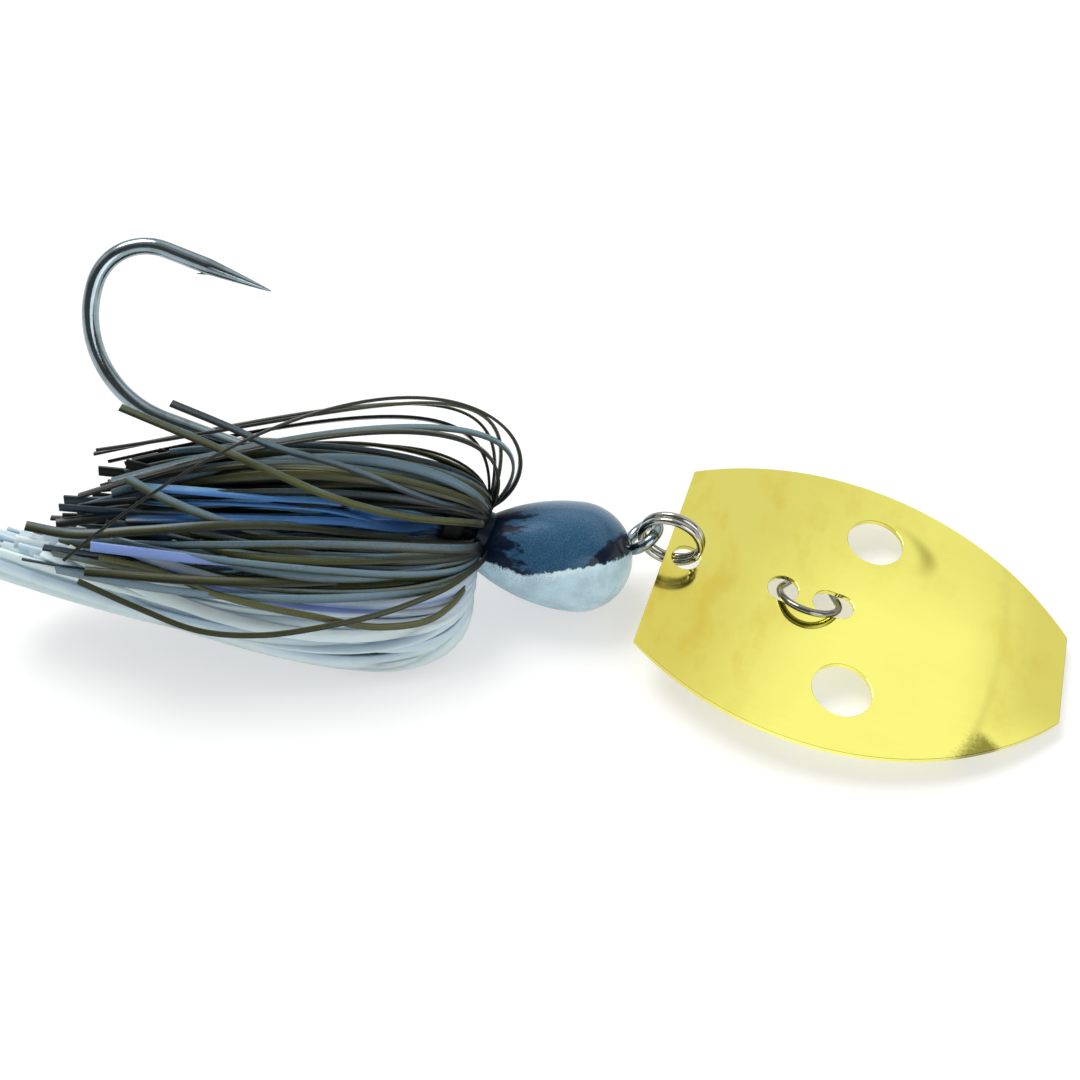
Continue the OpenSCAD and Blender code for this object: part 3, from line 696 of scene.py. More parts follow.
def head_mesh(s, k, frames):
    """Egg, shoulder and keeper post as turned surfaces. Their points keep their place in the head's frame."""
    flank = (s.nose_at ** 2 + (s.nose_r - s.back_r) ** 2) / (2 * (s.nose_r - s.back_r))
    egg = [(0, 0.1 * MM)]
    for x in np.linspace(0, s.nose_at, 40):
        egg.append((x, s.nose_r - flank + math.sqrt(flank ** 2 - (s.nose_at - x) ** 2)))
    egg += [(s.nose_at + s.nose_r * math.sin(a), max(s.nose_r * math.cos(a), 1e-6))
            for a in np.linspace(0, math.pi / 2, 48)[1:]]
    shell, shell_faces = lathe(egg)
    end = -s.shoulder_back - k.turn_gap - k.band_len - s.keeper_tail
    post, post_faces = lathe([(s.shoulder_front, 1 * MM), (s.shoulder_front, s.back_r),
                              (-s.shoulder_back, s.shoulder_r), (-s.shoulder_back, s.keeper_r),
                              (end, 0.8 * s.keeper_r), (end, s.hook_wire / 2)], 64)
    mesh = combined("head_shell", [(placed(frames.head, shell), shell_faces),
                                   (placed(frames.shank, post), post_faces)])
    to_head = frames.head.inverted() @ frames.shank
    spots = np.concatenate([shell, placed(to_head, post)])
    store(mesh, "spot", spots / MM, "FLOAT_VECTOR")
    return mesh


def ring_mesh(s, frames):
    """Two turns of wire with a crossover, cut square at both ends."""
    start, total = s.cross_at + s.cross_half, 4 * math.pi - 2 * s.cross_half
    path = []
    for a in np.linspace(start, start + total, 260):
        share = (a - (start + 2 * math.pi - 2 * s.cross_half)) / (2 * s.cross_half)
        share = min(1, max(0, share))
        share = share * share * (3 - 2 * share)
        path.append(Vector((s.ring_r * math.cos(a), s.ring_r * math.sin(a), s.turn_pitch * (0.5 - share))))
    points, faces = sweep(path, [s.ring_wire / 2] * len(path), 20)
    return combined("ring_wire", [(placed(frames.ring, points), faces)])


def snap_mesh(s, frames):
    """The snap as one swept wire: free leg, bow, closed leg, line end and lapped end."""
    lap = s.snap_wire + s.lap_air
    taper = math.asin((s.bow_r - s.line_r - lap / 2) / s.snap_span)
    run = s.snap_span * math.cos(taper)
    out = Vector((math.cos(taper), -math.sin(taper), 0))
    along = Vector((math.sin(taper), math.cos(taper), 0))
    spot = Vector((-lap / 2 / math.cos(taper), -s.snap_span, 0))
    mirrored = Vector((-out.x, out.y, 0))
    path = joined(line(s.bow_r * out - run * along, s.bow_r * out, 12),
                  arc((0, 0), s.bow_r, -taper, math.pi + taper, 64),
                  line(s.bow_r * mirrored, spot + s.line_r * mirrored, 16),
                  arc(spot, s.line_r, math.pi + taper, 2 * math.pi - taper, 32),
                  line(spot + s.line_r * out, spot + s.line_r * out + 0.5 * run * along, 10))
    points, faces = sweep(path, [s.snap_wire / 2] * len(path), 20)
    return combined("snap_wire", [(placed(frames.snap, points), faces)])


def blade_loops(s):
    """The blade's outline, its slot and its four round holes, in the blade's frame."""
    chord = Vector((s.blade_len, (s.tip_w - s.rear_w) / 2, 0))
    rise = math.sqrt(s.side_r ** 2 - chord.length_squared / 4)
    inward = Vector((chord.y, -chord.x, 0)) / chord.length
    middle = Vector((s.blade_len / 2, (s.rear_w + s.tip_w) / 4, 0)) + rise * inward
    first = math.atan2(s.rear_w / 2 - middle.y, -middle.x)
    last = math.atan2(s.tip_w / 2 - middle.y, s.blade_len - middle.x)
    far = arc(middle, s.side_r, first, last, 90)
    near = [Vector((p.x, -p.y, 0)) for p in far[::-1]]
    slot_at = s.snap_at + s.bow_r - s.slot_run
    slot = (arc((slot_at, 0), s.slot_w / 2, 0.5 * math.pi, 1.5 * math.pi, 24)
            + arc((slot_at + s.slot_run, 0), s.slot_w / 2, -0.5 * math.pi, 0.5 * math.pi, 24))
    hole_at = s.snap_at - s.bow_r + (s.snap_hole - s.slot_w) / 2 + s.hole_shift
    holes = ((s.ring_hole_at, 0, s.ring_hole), (hole_at, 0, s.snap_hole),
             (s.water_at, s.water_side, s.water_hole), (s.water_at, -s.water_side, s.water_hole))
    return [far + near, slot] + [circle((x, y), d / 2) for x, y, d in holes]


def flat_sheet(s):
    """The flat sheet with soft edges."""
    curve = bpy.data.curves.new("blade_outline", "CURVE")
    curve.dimensions = "2D"
    curve.fill_mode = "BOTH"
    curve.extrude = s.blade_t / 2 - s.edge_soft
    curve.bevel_depth = s.edge_soft
    curve.bevel_resolution = 1
    curve.offset = -s.edge_soft
    for loop in blade_loops(s):
        spline = curve.splines.new("POLY")
        spline.points.add(len(loop) - 1)
        spline.points.foreach_set("co", [c for p in loop for c in (p.x, p.y, 0, 1)])
        spline.use_cyclic_u = True
    return made_mesh(add_object("blade_outline", curve))


def blade_mesh(s, frames):
    """The sheet, bent at the crease. Its points keep their place on the flat sheet."""
    sheet = flat_sheet(s)
    made = bmesh.new()
    made.from_mesh(sheet)
    bpy.data.meshes.remove(sheet)
    bmesh.ops.remove_doubles(made, verts=made.verts, dist=SAME)
    half = s.crease_half
    for x in np.linspace(s.crease_at - half, s.crease_at + half, 9):
        bmesh.ops.bisect_plane(made, geom=made.verts[:] + made.edges[:] + made.faces[:],
                               plane_co=(x, 0, 0), plane_no=(1, 0, 0))
    spots = []
    for v in made.verts:
        spots.append(tuple(c / MM for c in v.co))
        over = v.co.x - s.crease_at
        share = min(1, max(0, over / (2 * half) + 0.5))
        drop = math.tan(s.tip_bend) * (max(0, over) if share in (0, 1) else half * share * share)
        v.co = frames.blade @ Vector((v.co.x, v.co.y, v.co.z - drop))
    mesh = bpy.data.meshes.new("blade_sheet")
    made.to_mesh(mesh)
    made.free()
    mesh.polygons.foreach_set("use_smooth", [True] * len(mesh.polygons))
    mesh.set_sharp_from_angle(angle=math.radians(8))
    store(mesh, "spot", spots, "FLOAT_VECTOR")
    return mesh


# Skirt

# A strand: its points in the jig's frame, root angle, facing, tint, girth, depth in the skirt and twist
Strand = namedtuple("Strand", "path root facing tint girth deep turning")

# Silicone looks: slot, two colours, share of the second, translucence, strength of the painted shade and
# painted shade at the tip
SILICONES = {
    "olive": ("skirt_olive", "olive", "slate", 0.38, 0.1, 1.0, 0.4),
    "moss": ("skirt_olive", "olive", "slate", 0.26, 0.1, 1.0, 0.0),
    "blue": ("skirt_blue", "blue", "sky", 0.45, 0.15, 0.5, 0.85),
    "lilac": ("skirt_lilac", "lilac", "mist", 0.6, 0.2, 0.3, 0.0),
    "white": ("skirt_white", "white", "mist", 0.3, 0.45, 0.06, 0.0),
}

# Groups of strands: CAD node, side of the band, first and last angle, count, least and most share, look.
# The last group has thrown strands alone.
GROUPS = (
    ("skirt_top_near", "front", 12, 58, 22, 0.4, 1.0, "olive"),
    ("skirt_side_near", "front", 93, 113, 18, 0.4, 1.0, "moss"),
    ("skirt_lilac", "front", 116, 130, 3, 0.85, 1.0, "lilac"),
    ("skirt_belly_near", "front", 122, 190, 38, 0.6, 1.0, "white"),
    ("skirt_belly_far", "front", 186, 236, 26, 0.6, 1.0, "white"),
    ("skirt_side_far", "front", 236, 292, 16, 0.5, 1.0, "olive"),
    ("skirt_top_far", "front", 288, 346, 22, 0.4, 1.05, "olive"),
    ("core_top_near", "back", 24, 70, 12, 0.6, 1.2, "olive"),
    ("core_blue", "back", 66, 124, 12, 0.7, 1.4, "blue"),
    ("core_white", "back", 140, 220, 14, 0.5, 1.2, "white"),
    ("core_far", "back", 215, 285, 12, 0.5, 1.1, "olive"),
    ("core_top_far", "back", 280, 330, 12, 0.5, 1.1, "olive"),
    ("skirt_loops", "front", 0, 0, 0, 1.0, 1.0, "olive"),
)

# Strands thrown up over the head: CAD node, root angle in degrees, girth, tint and the points that pull them,
# in the jig's frame in millimetres
LOOPS = (
    ("skirt_loops", 6, 0.95, 0.2, ((11.5, 8, 3), (-3, 26.5, 11), (-37, 3.5, 9))),
    ("skirt_loops", -6, 0.95, 0.7, ((8, 18, 4), (-8, 13.5, 3.5), (-34, 12.4, 4))),
    ("skirt_top_near", 16, 0.95, 0.85, ((9.5, 10, 3), (-2, 15, 4), (-33, 9.5, 4.5))),
    ("skirt_top_near", 24, 0.95, 0.3, ((6, 11, 5), (-6, 15, 6), (-36, 8.5, 5))),
    ("skirt_top_far", -16, 0.95, 0.35, ((6, 15, -4), (-4, 15, -4), (-36, 11.5, -3))),
    ("skirt_top_far", -26, 0.95, 0.6, ((4, 13, -5), (-6, 14, -5), (-35, 10.5, -4))),
)

# Single strands that lie over the others: CAD node, girth, tint and points in the jig's frame in millimetres
SINGLES = (
    ("skirt_top_near", 0.85, 0.9,
     ((-1.6, 2.2, 1.6), (0.4, 2.8, 3.0), (-3.6, 4.5, 5.4), (-12.5, 9.3, 7.4), (-18.3, 11.7, 7.6),
      (-21.1, 13.3, 7.2), (-26.4, 16.1, 6.4))),
    ("skirt_top_near", 0.85, 0.4,
     ((-1.8, 1.4, 2.2), (0.2, 1.6, 3.4), (-6.9, 3.7, 6.4), (-12.9, 6.3, 8.2), (-19.0, 9.8, 8.4),
      (-23.5, 12.3, 7.8), (-30.7, 16.2, 7.0))),
    ("skirt_side_near", 0.6, 0.15,
     ((-1.8, 0.2, 2.1), (0.3, -0.9, 3.6), (-2.6, -2.8, 6.4), (-7.8, -4.2, 8.4), (-15.7, -5.2, 9.0),
      (-21.0, -5.4, 8.6), (-26.4, -4.6, 7.8), (-32.1, -1.8, 7.0), (-36.7, 1.1, 7.0))),
    ("skirt_lilac", 1.0, 0.0,
     ((-1.8, 0.4, 2.2), (-1.0, -0.6, 3.2), (-10.6, -0.6, 5.0), (-19.6, 0.8, 6.6), (-25.5, 1.9, 7.2),
      (-31.3, 3.3, 7.4), (-35.0, 4.2, 7.4))),
    ("skirt_side_near", 1.0, 0.6,
     ((-1.8, 0.9, 2.2), (-1.0, 0.4, 3.0), (-12.1, 2.4, 4.6), (-17.7, 3.9, 6.0), (-23.9, 4.8, 7.0),
      (-31.0, 5.1, 7.0), (-36.9, 5.5, 7.0), (-40.4, 6.6, 7.0))),
    ("skirt_side_near", 0.9, 0.8,
     ((-1.8, 0.7, 2.2), (-1.0, 0.0, 3.1), (-10.4, 0.5, 4.6), (-17.4, 2.5, 5.6), (-22.2, 4.5, 6.4),
      (-26.2, 6.5, 6.4), (-28.7, 8.0, 6.4), (-31.2, 9.8, 6.4))),
    ("skirt_side_near", 1.0, 0.3,
     ((-1.8, 0.3, 2.2), (-1.0, -1.0, 3.1), (-7.5, -1.8, 5.0), (-13.7, -1.6, 6.6), (-19.6, -0.8, 7.8),
      (-25.6, 0.1, 8.0), (-31.4, 1.2, 8.0), (-35.7, 2.1, 8.0))),
    ("skirt_side_near", 0.8, 0.1,
     ((-1.8, -0.2, 2.0), (-1.2, -1.9, 3.2), (-2.4, -4.2, 5.4), (-5.2, -5.9, 7.2), (-10.2, -6.0, 8.2),
      (-16.0, -4.3, 8.4), (-24.8, -1.3, 7.6), (-29.7, 1.2, 6.8), (-34.6, 3.0, 6.8))),
    ("core_blue", 1.0, 0.5,
     ((-3.8, 2.2, 1.7), (-7.5, 3.2, 3.2), (-13.0, 5.5, 4.9), (-19.0, 6.7, 5.6), (-25.0, 7.9, 5.8),
      (-31.0, 9.0, 5.8))),
    ("core_blue", 1.0, 0.35,
     ((-3.8, 2.0, 1.7), (-6.5, 2.0, 3.2), (-13.2, 3.7, 4.9), (-19.9, 4.7, 5.6), (-25.4, 5.4, 5.6),
      (-32.0, 6.0, 5.6))),
    ("core_blue", 1.0, 0.4,
     ((-3.8, 2.1, 1.7), (-8.0, 2.6, 3.0), (-14.0, 4.8, 4.4), (-21.0, 6.2, 5.0), (-30.0, 7.4, 5.2))),
)


class Skirt:
    """Paths of the strands in the jig's frame. Angle 0 is the top of the hook plane and 90 the near side."""

    def __init__(self, s, k, frames):
        self.s, self.k, self.frames = s, k, frames
        self.random = random.Random(k.seed)
        self.inner_r = s.keeper_r + k.snug
        self.outer_r = self.inner_r + k.layer + k.snug
        self.band_front = -s.shoulder_back - k.turn_gap
        self.band_back = self.band_front - k.band_len
        self.fold_at = self.band_front + k.fold_ahead
        self.fold_r = s.shoulder_r + k.strand_t
        self.to_jig = Matrix.Rotation(-s.dip, 4, "Z")

    def root(self, x, r, a):
        """A point on the shank's frame, x along it and r from it."""
        return np.array(self.to_jig @ Vector((x, r * math.cos(a), r * math.sin(a))))

    def lead(self, r, a):
        """The first points of a strand that leaves the front of the band."""
        return np.array([self.root(self.band_front + x, r, a) for x in (-self.k.grip, self.k.ahead)])

    def swell(self, a, share):
        """How far a strand swells out. The far side of the belly swells less."""
        k = self.k
        past = max(0, math.degrees(a) % 360 - 165) / 90 if math.cos(a) < 0 else 0
        tall = k.up if math.cos(a) > 0 else k.down * (1 - 0.25 * past)
        return share * np.array((0, tall * math.cos(a), k.side * math.sin(a)))

    def tail(self, a, share, longer, over, drop):
        """The end of a strand."""
        k = self.k
        reach = k.reach + k.belly * max(0, -math.cos(a)) - k.top_less * max(0, math.cos(a)) + longer
        tall = k.spread if math.cos(a) > 0 else drop
        return np.array((-reach, k.rise + over + share * tall * math.cos(a), share * k.spread * math.sin(a)))

    def lay(self, points, low):
        """Strands that would sink into the table lie on it."""
        s = self.s
        floor = (low - self.frames.height - math.sin(s.roll) * points[:, 1]) / math.cos(s.roll)
        gap = points[:, 2] - floor
        points[:, 2] = floor + (gap + np.sqrt(gap ** 2 + self.k.lay_soft ** 2)) / 2
        return points

    def curve(self, controls, steps):
        t = np.linspace(0, 1, steps)[:, None]
        a, b, c, d = controls
        return a * (1 - t) ** 3 + 3 * b * t * (1 - t) ** 2 + 3 * c * t ** 2 * (1 - t) + d * t ** 3

    def wander(self, points):
        """Strands sway a little on their way back."""
        pick = self.random
        t = np.linspace(0, 1, len(points))
        for axis in (1, 2):
            wave = np.sin(2 * np.pi * (pick.uniform(0.5, 1.1) * t + pick.random()))
            points[:, axis] += self.k.sway * pick.uniform(0.3, 1.0) * t * (wave - wave[0])
        return points

    def front(self, a, share, steps=30):
        """A strand that leaves the front of the band, folds outwards and runs back."""
        pick, k = self.random, self.k
        belly = max(0, -math.cos(a))
        r = self.outer_r + k.layer * pick.uniform(0.2, 0.8)
        start = self.root(self.fold_at, self.fold_r + k.layer * pick.random(), a)
        out = self.swell(a, share)
        fold = pick.uniform(0.48, 0.6) + 0.3 * belly
        turn = start + fold * out + np.array((k.fold_out * share, 0, 0))
        back = np.array((-k.way + pick.uniform(-k.way_vary, k.way_vary), k.rise / 2, 0))
        back += pick.uniform(1.1, 1.25) * out
        drop = k.drop if math.cos(a) < -0.7 else k.core_drop
        spread = share * pick.uniform(0.45 - 0.2 * belly, 1.05 - 0.4 * belly)
        longer = pick.uniform(-k.tail_less + k.belly_even * belly, k.tail_more + k.belly_more * belly)
        longer -= k.side_less * max(0, math.sin(a)) ** 8
        tail = self.tail(a + pick.gauss(0, 0.22), spread, longer, 0, drop)
        low = k.lie + pick.uniform(0, k.lie_vary)
        path = self.wander(self.curve((start, turn, back, tail), steps))
        return np.concatenate([self.lead(r, a), self.lay(path, low)])

    def back(self, a, share, steps=24):
        """A strand that leaves the back of the band and runs back inside the others."""
        pick, k = self.random, self.k
        r = self.inner_r + k.layer * pick.uniform(0.2, 0.8)
        start = self.root(self.band_back - k.grip, r, a)
        away = self.root(self.band_back - k.core_lead, r + k.core_lift, a)
        back = np.array((-k.core_way, k.rise / 2, 0)) + pick.uniform(1.0, 1.3) * self.swell(a, 0.5 * share)
        over = k.core_over * (1 + min(0, math.cos(a)))
        tail_a = a + pick.gauss(0, 0.3)
        spread = share * pick.uniform(0.2, 0.8)
        longer = pick.uniform(-k.tail_less, k.core_more)
        tail = self.tail(tail_a, spread, longer, over, k.core_drop)
        path = self.wander(self.curve((start, away, back, tail), steps))
        return np.concatenate([[self.root(self.band_back + k.grip, r, a)], self.lay(path, k.core_lie)])

    def loop(self, a, pull, steps=60):
        """A strand that is thrown up over the head, from its root and the points that pull it."""
        start = self.root(self.fold_at, self.fold_r, a)
        path = self.curve([start] + [np.array(p) * MM for p in pull], steps)
        return np.concatenate([self.lead(self.outer_r + self.k.layer / 2, a), path])

    def through(self, spots, steps=60):
        """A smooth strand through points."""
        spots = np.array(spots, float) * MM
        knots = np.concatenate([[0], np.cumsum(np.linalg.norm(np.diff(spots, axis=0), axis=1))])
        slopes = np.gradient(spots, knots, axis=0)
        made = []
        for t in np.linspace(0, knots[-1], steps):
            i = min(len(knots) - 2, int(np.searchsorted(knots, t, side="right")) - 1)
            h = knots[i + 1] - knots[i]
            u = (t - knots[i]) / h
            made.append(spots[i] * (1 + 2 * u) * (1 - u) ** 2 + h * slopes[i] * u * (1 - u) ** 2
                        + spots[i + 1] * u * u * (3 - 2 * u) + h * slopes[i + 1] * u * u * (u - 1))
        return np.array(made)

    def thrown(self, node):
        """The strands of a CAD node that are thrown up over the head."""
        made = []
        for place, degrees, girth, tint, pull in LOOPS:
            if place == node:
                a = math.radians(degrees)
                made.append(Strand(self.loop(a, pull), a, a, tint, girth, 0.0, 0.3))
        return made

    def singles(self, node):
        """The strands of a CAD node that lie over the others."""
        made = []
        for place, girth, tint, spots in SINGLES:
            if place == node:
                a = math.atan2(spots[0][2], spots[0][1])
                made.append(Strand(self.through(spots), a, a, tint, girth, 0.0, 0.4))
        return made

    def spread(self, side, first, last, count, small, large, white):
        """The strands of a group between two angles. White strands are wider and face the near side."""
        pick = self.random
        made = []
        for i in range(count):
            a = math.radians(first + (last - first) * (i + pick.uniform(0.1, 0.9)) / count)
            out = pick.random() ** 0.6
            share = small + (large - small) * out
            path = self.front(a, share) if side == "front" else self.back(a, share)
            deep = 1 - out if side == "front" else 1 - 0.5 * out
            girth = pick.uniform(0.8, 1.1) * (1.25 if white else 1)
            turned = 0.3 if white else 0.5 if a < math.pi else 1
            facing = math.pi / 2 + turned * (a - math.pi / 2)
            made.append(Strand(path, a, facing, pick.random(), girth, deep, 1.0))
        return made

    def across(self, strand, world, run):
        """The way of a strand's width: round the hook at its root, then as it faces, with a random twist."""
        pick = self.random
        ahead = unit(np.gradient(world, axis=0))
        # It turns from its root's angle to its facing between 2.4 and 14.4 mm along
        turned = np.clip((run - 2.4) / 12, 0, 1)
        way = strand.root + (strand.facing - strand.root) * turned
        round_way = np.stack([0 * way, -np.sin(way), np.cos(way)], 1) @ np.array(self.frames.jig.to_3x3()).T
        across = unit(round_way - ahead * (ahead * round_way).sum(1)[:, None])
        start = pick.uniform(-0.5, 0.5)
        twist = strand.turning * (start + np.linspace(0, pick.uniform(-1.2, 1.2), len(world)))
        return np.cos(twist)[:, None] * across + np.sin(twist)[:, None] * np.cross(ahead, across)


def strand_nodes():
    """Nodes that give lines the flat section of a strand, and the identifiers of their inputs."""
    tree = bpy.data.node_groups.new("strands", "GeometryNodeTree")
    face = tree.interface
    face.new_socket("Geometry", in_out="INPUT", socket_type="NodeSocketGeometry")
    inputs = {}
    for name, kind in (("Width", "NodeSocketFloat"), ("Thickness", "NodeSocketFloat"),
                       ("Corner", "NodeSocketFloat"), ("Material", "NodeSocketMaterial")):
        inputs[name] = face.new_socket(name, in_out="INPUT", socket_type=kind).identifier
    face.new_socket("Geometry", in_out="OUTPUT", socket_type="NodeSocketGeometry")

    def node(kind, links=None, **settings):
        return add_node(tree, kind, links, **settings).outputs

    given = node("NodeGroupInput")
    wide = node("GeometryNodeInputNamedAttribute", {"Name": "wide"}, data_type="FLOAT_VECTOR")["Attribute"]
    girth = node("GeometryNodeInputNamedAttribute", {"Name": "girth"}, data_type="FLOAT")["Attribute"]
    lines = node("GeometryNodeMeshToCurve", {"Mesh": given["Geometry"]})["Curve"]
    turned = node("GeometryNodeSetCurveNormal", {"Curve": lines, "Normal": wide}, mode="FREE")["Curve"]
    box = node("GeometryNodeCurvePrimitiveQuadrilateral",
               {"Width": given["Width"], "Height": given["Thickness"]})["Curve"]
    section = node("GeometryNodeFilletCurve", {"Curve": box, "Radius": given["Corner"], "Count": 1},
                   mode="POLY")["Curve"]
    spot = node("ShaderNodeSeparateXYZ", {0: node("GeometryNodeInputPosition")[0]})
    side = node("ShaderNodeMath", {0: spot["X"], 1: given["Width"]}, operation="DIVIDE")[0]
    faced = node("GeometryNodeStoreNamedAttribute", {"Geometry": section, "Name": "side", "Value": side},
                 data_type="FLOAT", domain="POINT")["Geometry"]
    tubes = node("GeometryNodeCurveToMesh", {"Curve": turned, "Profile Curve": faced, "Scale": girth,
                                             "Fill Caps": True})["Mesh"]
    smooth = node("GeometryNodeSetShadeSmooth", {"Geometry": tubes})["Geometry"]
    real = node("GeometryNodeRealizeInstances", {"Geometry": smooth})["Geometry"]
    dressed = node("GeometryNodeSetMaterial", {"Geometry": real, "Material": given["Material"]})["Geometry"]
    node("NodeGroupOutput", {"Geometry": dressed})
    return tree, inputs


def strand_piece(name, strands, skirt, look, tree, inputs):
    """One piece from strands: lines that carry what the nodes and the material read, then the nodes' mesh."""
    k = skirt.k
    points, edges = [], []
    carried = {"wide": [], "girth": [], "tint": [], "deep": [], "along": []}
    for strand in strands:
        world = placed(skirt.frames.jig, strand.path)
        count = len(world)
        steps = np.linalg.norm(np.diff(world, axis=0), axis=1)
        run = np.concatenate([[0], np.cumsum(steps)]) / MM
        edges += [(len(points) + i, len(points) + i + 1) for i in range(count - 1)]
        points += world.tolist()
        carried["wide"].append(skirt.across(strand, world, run))
        # A strand is narrow in the band and has its full width from its sixth point on
        grown = np.minimum(1, 0.45 + 0.55 * np.arange(count) / 5)
        carried["girth"].append(strand.girth * grown)
        carried["tint"].append(np.full(count, strand.tint))
        carried["deep"].append(np.full(count, strand.deep))
        carried["along"].append(run)
    lines = bpy.data.meshes.new(name + "_lines")
    lines.from_pydata(points, edges, [])
    for key, runs in carried.items():
        store(lines, key, np.concatenate(runs), "FLOAT_VECTOR" if key == "wide" else "FLOAT")
    holder = add_object(name + "_lines", lines)
    sections = holder.modifiers.new("strands", "NODES")
    sections.node_group = tree
    for key, value in (("Width", k.strand_w), ("Thickness", k.strand_t), ("Corner", k.corner),
                       ("Material", look.material)):
        sections[inputs[key]] = value
    mesh = made_mesh(holder)
    mesh.name = name
    piece = add_object(name, mesh)
    look.give(piece)
    return piece


# Stage

# Grey levels of the room by height, on the far side and on the side of the camera
FAR_LEVELS = ((0.0, 0.97), (0.16, 0.95), (0.26, 0.3), (0.36, 0.35), (0.5, 0.85),
              (0.6, 0.98), (0.88, 0.98), (0.98, 0.4))
NEAR_LEVELS = ((0.0, 0.97), (0.22, 0.95), (0.34, 0.12), (0.85, 0.1), (0.98, 0.4))
# The place that the lamps point at
LAMP_AIM = Vector((0, 0, 8 * MM))


def stage_table(f, half):
    """The table. To the camera and in mirrors it is lit up to white, but for its shadows."""
    corners = [(-half, -half, 0), (half, -half, 0), (half, half, 0), (-half, half, 0)]
    table = add_object("table", mesh_from("table", corners, [(0, 1, 2, 3)], False))
    look = Look("table", Specular_IOR_Level=0.0, Emission_Strength=1.0)
    grain = look.noise(look.place(), 0.02, 2.0)
    look.set("Base Color", look.mix(0.02 * grain, f.floor, f.belly))
    look.set("Roughness", 0.9 + 0.05 * grain)
    rays = look.node("ShaderNodeLightPath").outputs
    seen = Val(look, rays["Is Camera Ray"]).most(rays["Is Glossy Ray"]).most(rays["Is Transmission Ray"])
    look.set("Emission Color", look.mix(seen, (0, 0, 0), (0.5, 0.5, 0.5)))
    look.give(table)


def stage_lamp(name, spot, size, power, tone):
    """A round lamp that points at the part."""
    light = bpy.data.lights.new(name, "AREA")
    light.shape = "DISK"
    light.size = size
    light.energy = power
    light.color = tone
    lamp = add_object(name, light)
    lamp.location = spot
    lamp.rotation_euler = (LAMP_AIM - Vector(spot)).to_track_quat("-Z", "Y").to_euler()


def stage_world(scene):
    """A pale room: bright low down, a dark band behind the part, and dark above on the side of the camera."""
    world = bpy.data.worlds.new("room")
    scene.world = world
    world.use_nodes = True
    tree = world.node_tree
    tree.nodes.clear()
    way = add_node(tree, "ShaderNodeTexCoord").outputs["Generated"]
    way = add_node(tree, "ShaderNodeSeparateXYZ", {0: way}).outputs
    far = add_node(tree, "ShaderNodeValToRGB", {0: way["Z"]}, FAR_LEVELS).outputs[0]
    near = add_node(tree, "ShaderNodeValToRGB", {0: way["Z"]}, NEAR_LEVELS).outputs[0]
    behind = add_node(tree, "ShaderNodeMapRange", {0: way["Y"], 1: -0.3, 2: 0.2},
                      interpolation_type="SMOOTHSTEP").outputs[0]
    both = add_node(tree, "ShaderNodeMix", {0: behind, 6: near, 7: far}, data_type="RGBA").outputs[2]
    room = add_node(tree, "ShaderNodeBackground", {"Color": both, "Strength": 1.0}).outputs[0]
    add_node(tree, "ShaderNodeOutputWorld", {0: room})


def stage_camera(scene, g):
    """The camera of the photo."""
    view = bpy.data.cameras.new("camera")
    view.lens = view.sensor_width * g.focal / g.picture
    view.clip_start = 5 * MM
    view.clip_end = 10
    camera = add_object("camera", view)
    camera.location = g.camera_place
    camera.rotation_euler = (math.pi / 2 - g.elevation, 0, 0)
    scene.camera = camera


# Operators

class Builder:
    """What the operators share: the settings, the frames and the tie to a body of the part."""

    bl_options = {"REGISTER", "UNDO"}

    def settings(self, context):
        scene = context.scene
        return scene.jig_sizes, scene.jig_finishes, Frames(scene.jig_sizes)

    def tie(self, piece, body, slot, *nodes):
        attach(piece, body)
        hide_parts(*nodes)


class JIG_OT_hook(Builder, bpy.types.Operator):
    """Builds the hook"""

    bl_idname = "jig.hook"
    bl_label = "Hook"

    def execute(self, context):
        s, f, frames = self.settings(context)
        piece = add_object("hook_wire", hook_mesh(s, frames))
        finish_steel("hook_nickel", f.hook, 1.0, 0.55, 0.08, 0.2).give(piece)
        self.tie(piece, "jig", "hook_steel", "hook")
        return {"FINISHED"}


class JIG_OT_head(Builder, bpy.types.Operator):
    """Builds the painted head and dresses the rubber band"""

    bl_idname = "jig.head"
    bl_label = "Head"

    def execute(self, context):
        s, f, frames = self.settings(context)
        piece = add_object("head_shell", head_mesh(s, context.scene.jig_skirt, frames))
        finish_paint(f).give(piece)
        self.tie(piece, "jig", "head_paint", "head")
        finish_rubber(f).give(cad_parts["skirt_band"])
        return {"FINISHED"}


class JIG_OT_link(Builder, bpy.types.Operator):
    """Builds the split ring, the blade and the snap"""

    bl_idname = "jig.link"
    bl_label = "Ring, blade and snap"

    def execute(self, context):
        s, f, frames = self.settings(context)
        ring = add_object("ring_wire", ring_mesh(s, frames))
        finish_steel("ring_steel", f.steel, 0.8, 0.45, 0.1).give(ring)
        self.tie(ring, "link", "ring_steel", "split_ring")
        blade = add_object("blade_sheet", blade_mesh(s, frames))
        finish_brass(f).give(blade)
        self.tie(blade, "paddle", "blade_brass", "blade")
        snap = add_object("snap_wire", snap_mesh(s, frames))
        finish_steel("snap_steel", f.steel, 0.5, 0.2, 0.1).give(snap)
        self.tie(snap, "clip", "snap_steel", "snap")
        return {"FINISHED"}


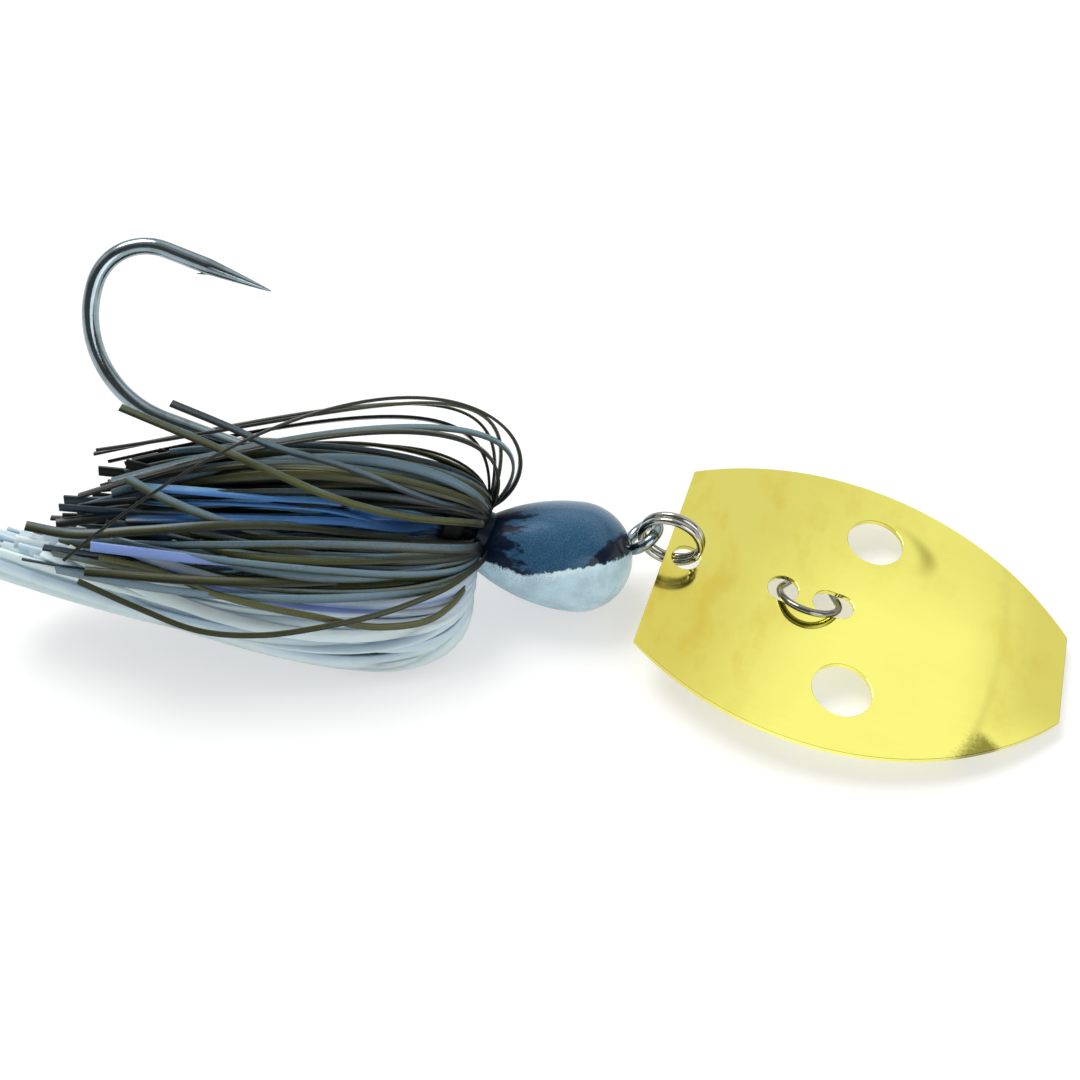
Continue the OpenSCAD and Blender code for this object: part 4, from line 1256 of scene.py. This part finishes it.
class JIG_OT_skirt(Builder, bpy.types.Operator):
    """Builds the skirt, one piece for each group of strands"""

    bl_idname = "jig.skirt"
    bl_label = "Skirt"

    def execute(self, context):
        s, f, frames = self.settings(context)
        skirt = Skirt(s, context.scene.jig_skirt, frames)
        tree, inputs = strand_nodes()
        looks = {}
        for look, (slot, main, second, *shares) in SILICONES.items():
            tones = (getattr(f, main), getattr(f, second))
            looks[look] = (finish_silicone(f, "silicone_" + look, *tones, *shares), slot)
        for node, side, first, last, count, small, large, look in GROUPS:
            finish, slot = looks[look]
            strands = skirt.thrown(node) + skirt.singles(node)
            strands += skirt.spread(side, first, last, count, small, large, look == "white")
            piece = strand_piece(node + "_strands", strands, skirt, finish, tree, inputs)
            self.tie(piece, "jig", slot, node)
        return {"FINISHED"}


class JIG_OT_stage(Builder, bpy.types.Operator):
    """Builds the table, the lights and the camera"""

    bl_idname = "jig.stage"
    bl_label = "Stage"

    def execute(self, context):
        scene = context.scene
        g = scene.jig_stage
        stage_table(scene.jig_finishes, g.table_half)
        stage_lamp("key", (-0.17, 0.2, 0.46), 0.3, g.key_power, (1.0, 0.99, 0.97))
        stage_lamp("fill", (0.2, -0.4, 0.22), 0.4, g.fill_power, (0.96, 0.98, 1.0))
        stage_world(scene)
        stage_camera(scene, g)
        scene.view_settings.view_transform = "Standard"
        return {"FINISHED"}


class JIG_PT_panel(bpy.types.Panel):
    """Sidebar with the settings and one button a step"""

    bl_idname = "JIG_PT_panel"
    bl_label = "Bladed jig"
    bl_space_type = "VIEW_3D"
    bl_region_type = "UI"
    bl_category = "Jig"

    def draw(self, context):
        for step in STEPS:
            self.layout.operator(step.bl_idname)
        for name in SETTINGS:
            group = getattr(context.scene, name)
            box = self.layout.box()
            for key in group.__annotations__:
                box.prop(group, key)


STEPS = (JIG_OT_hook, JIG_OT_head, JIG_OT_link, JIG_OT_skirt, JIG_OT_stage)
SETTINGS = {"jig_sizes": JigSizes, "jig_skirt": SkirtSettings, "jig_finishes": Finishes,
            "jig_stage": StageSettings}
CLASSES = (*SETTINGS.values(), *STEPS, JIG_PT_panel)


def register():
    for made in CLASSES:
        bpy.utils.register_class(made)
    for name, kind in SETTINGS.items():
        setattr(bpy.types.Scene, name, PointerProperty(type=kind))


def unregister():
    for name in SETTINGS:
        delattr(bpy.types.Scene, name)
    for made in reversed(CLASSES):
        bpy.utils.unregister_class(made)


def main():
    register()
    bpy.ops.jig.hook()
    bpy.ops.jig.head()
    bpy.ops.jig.link()
    bpy.ops.jig.skirt()
    bpy.ops.jig.stage()
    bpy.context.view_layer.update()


if __name__ == "__main__":
    main()
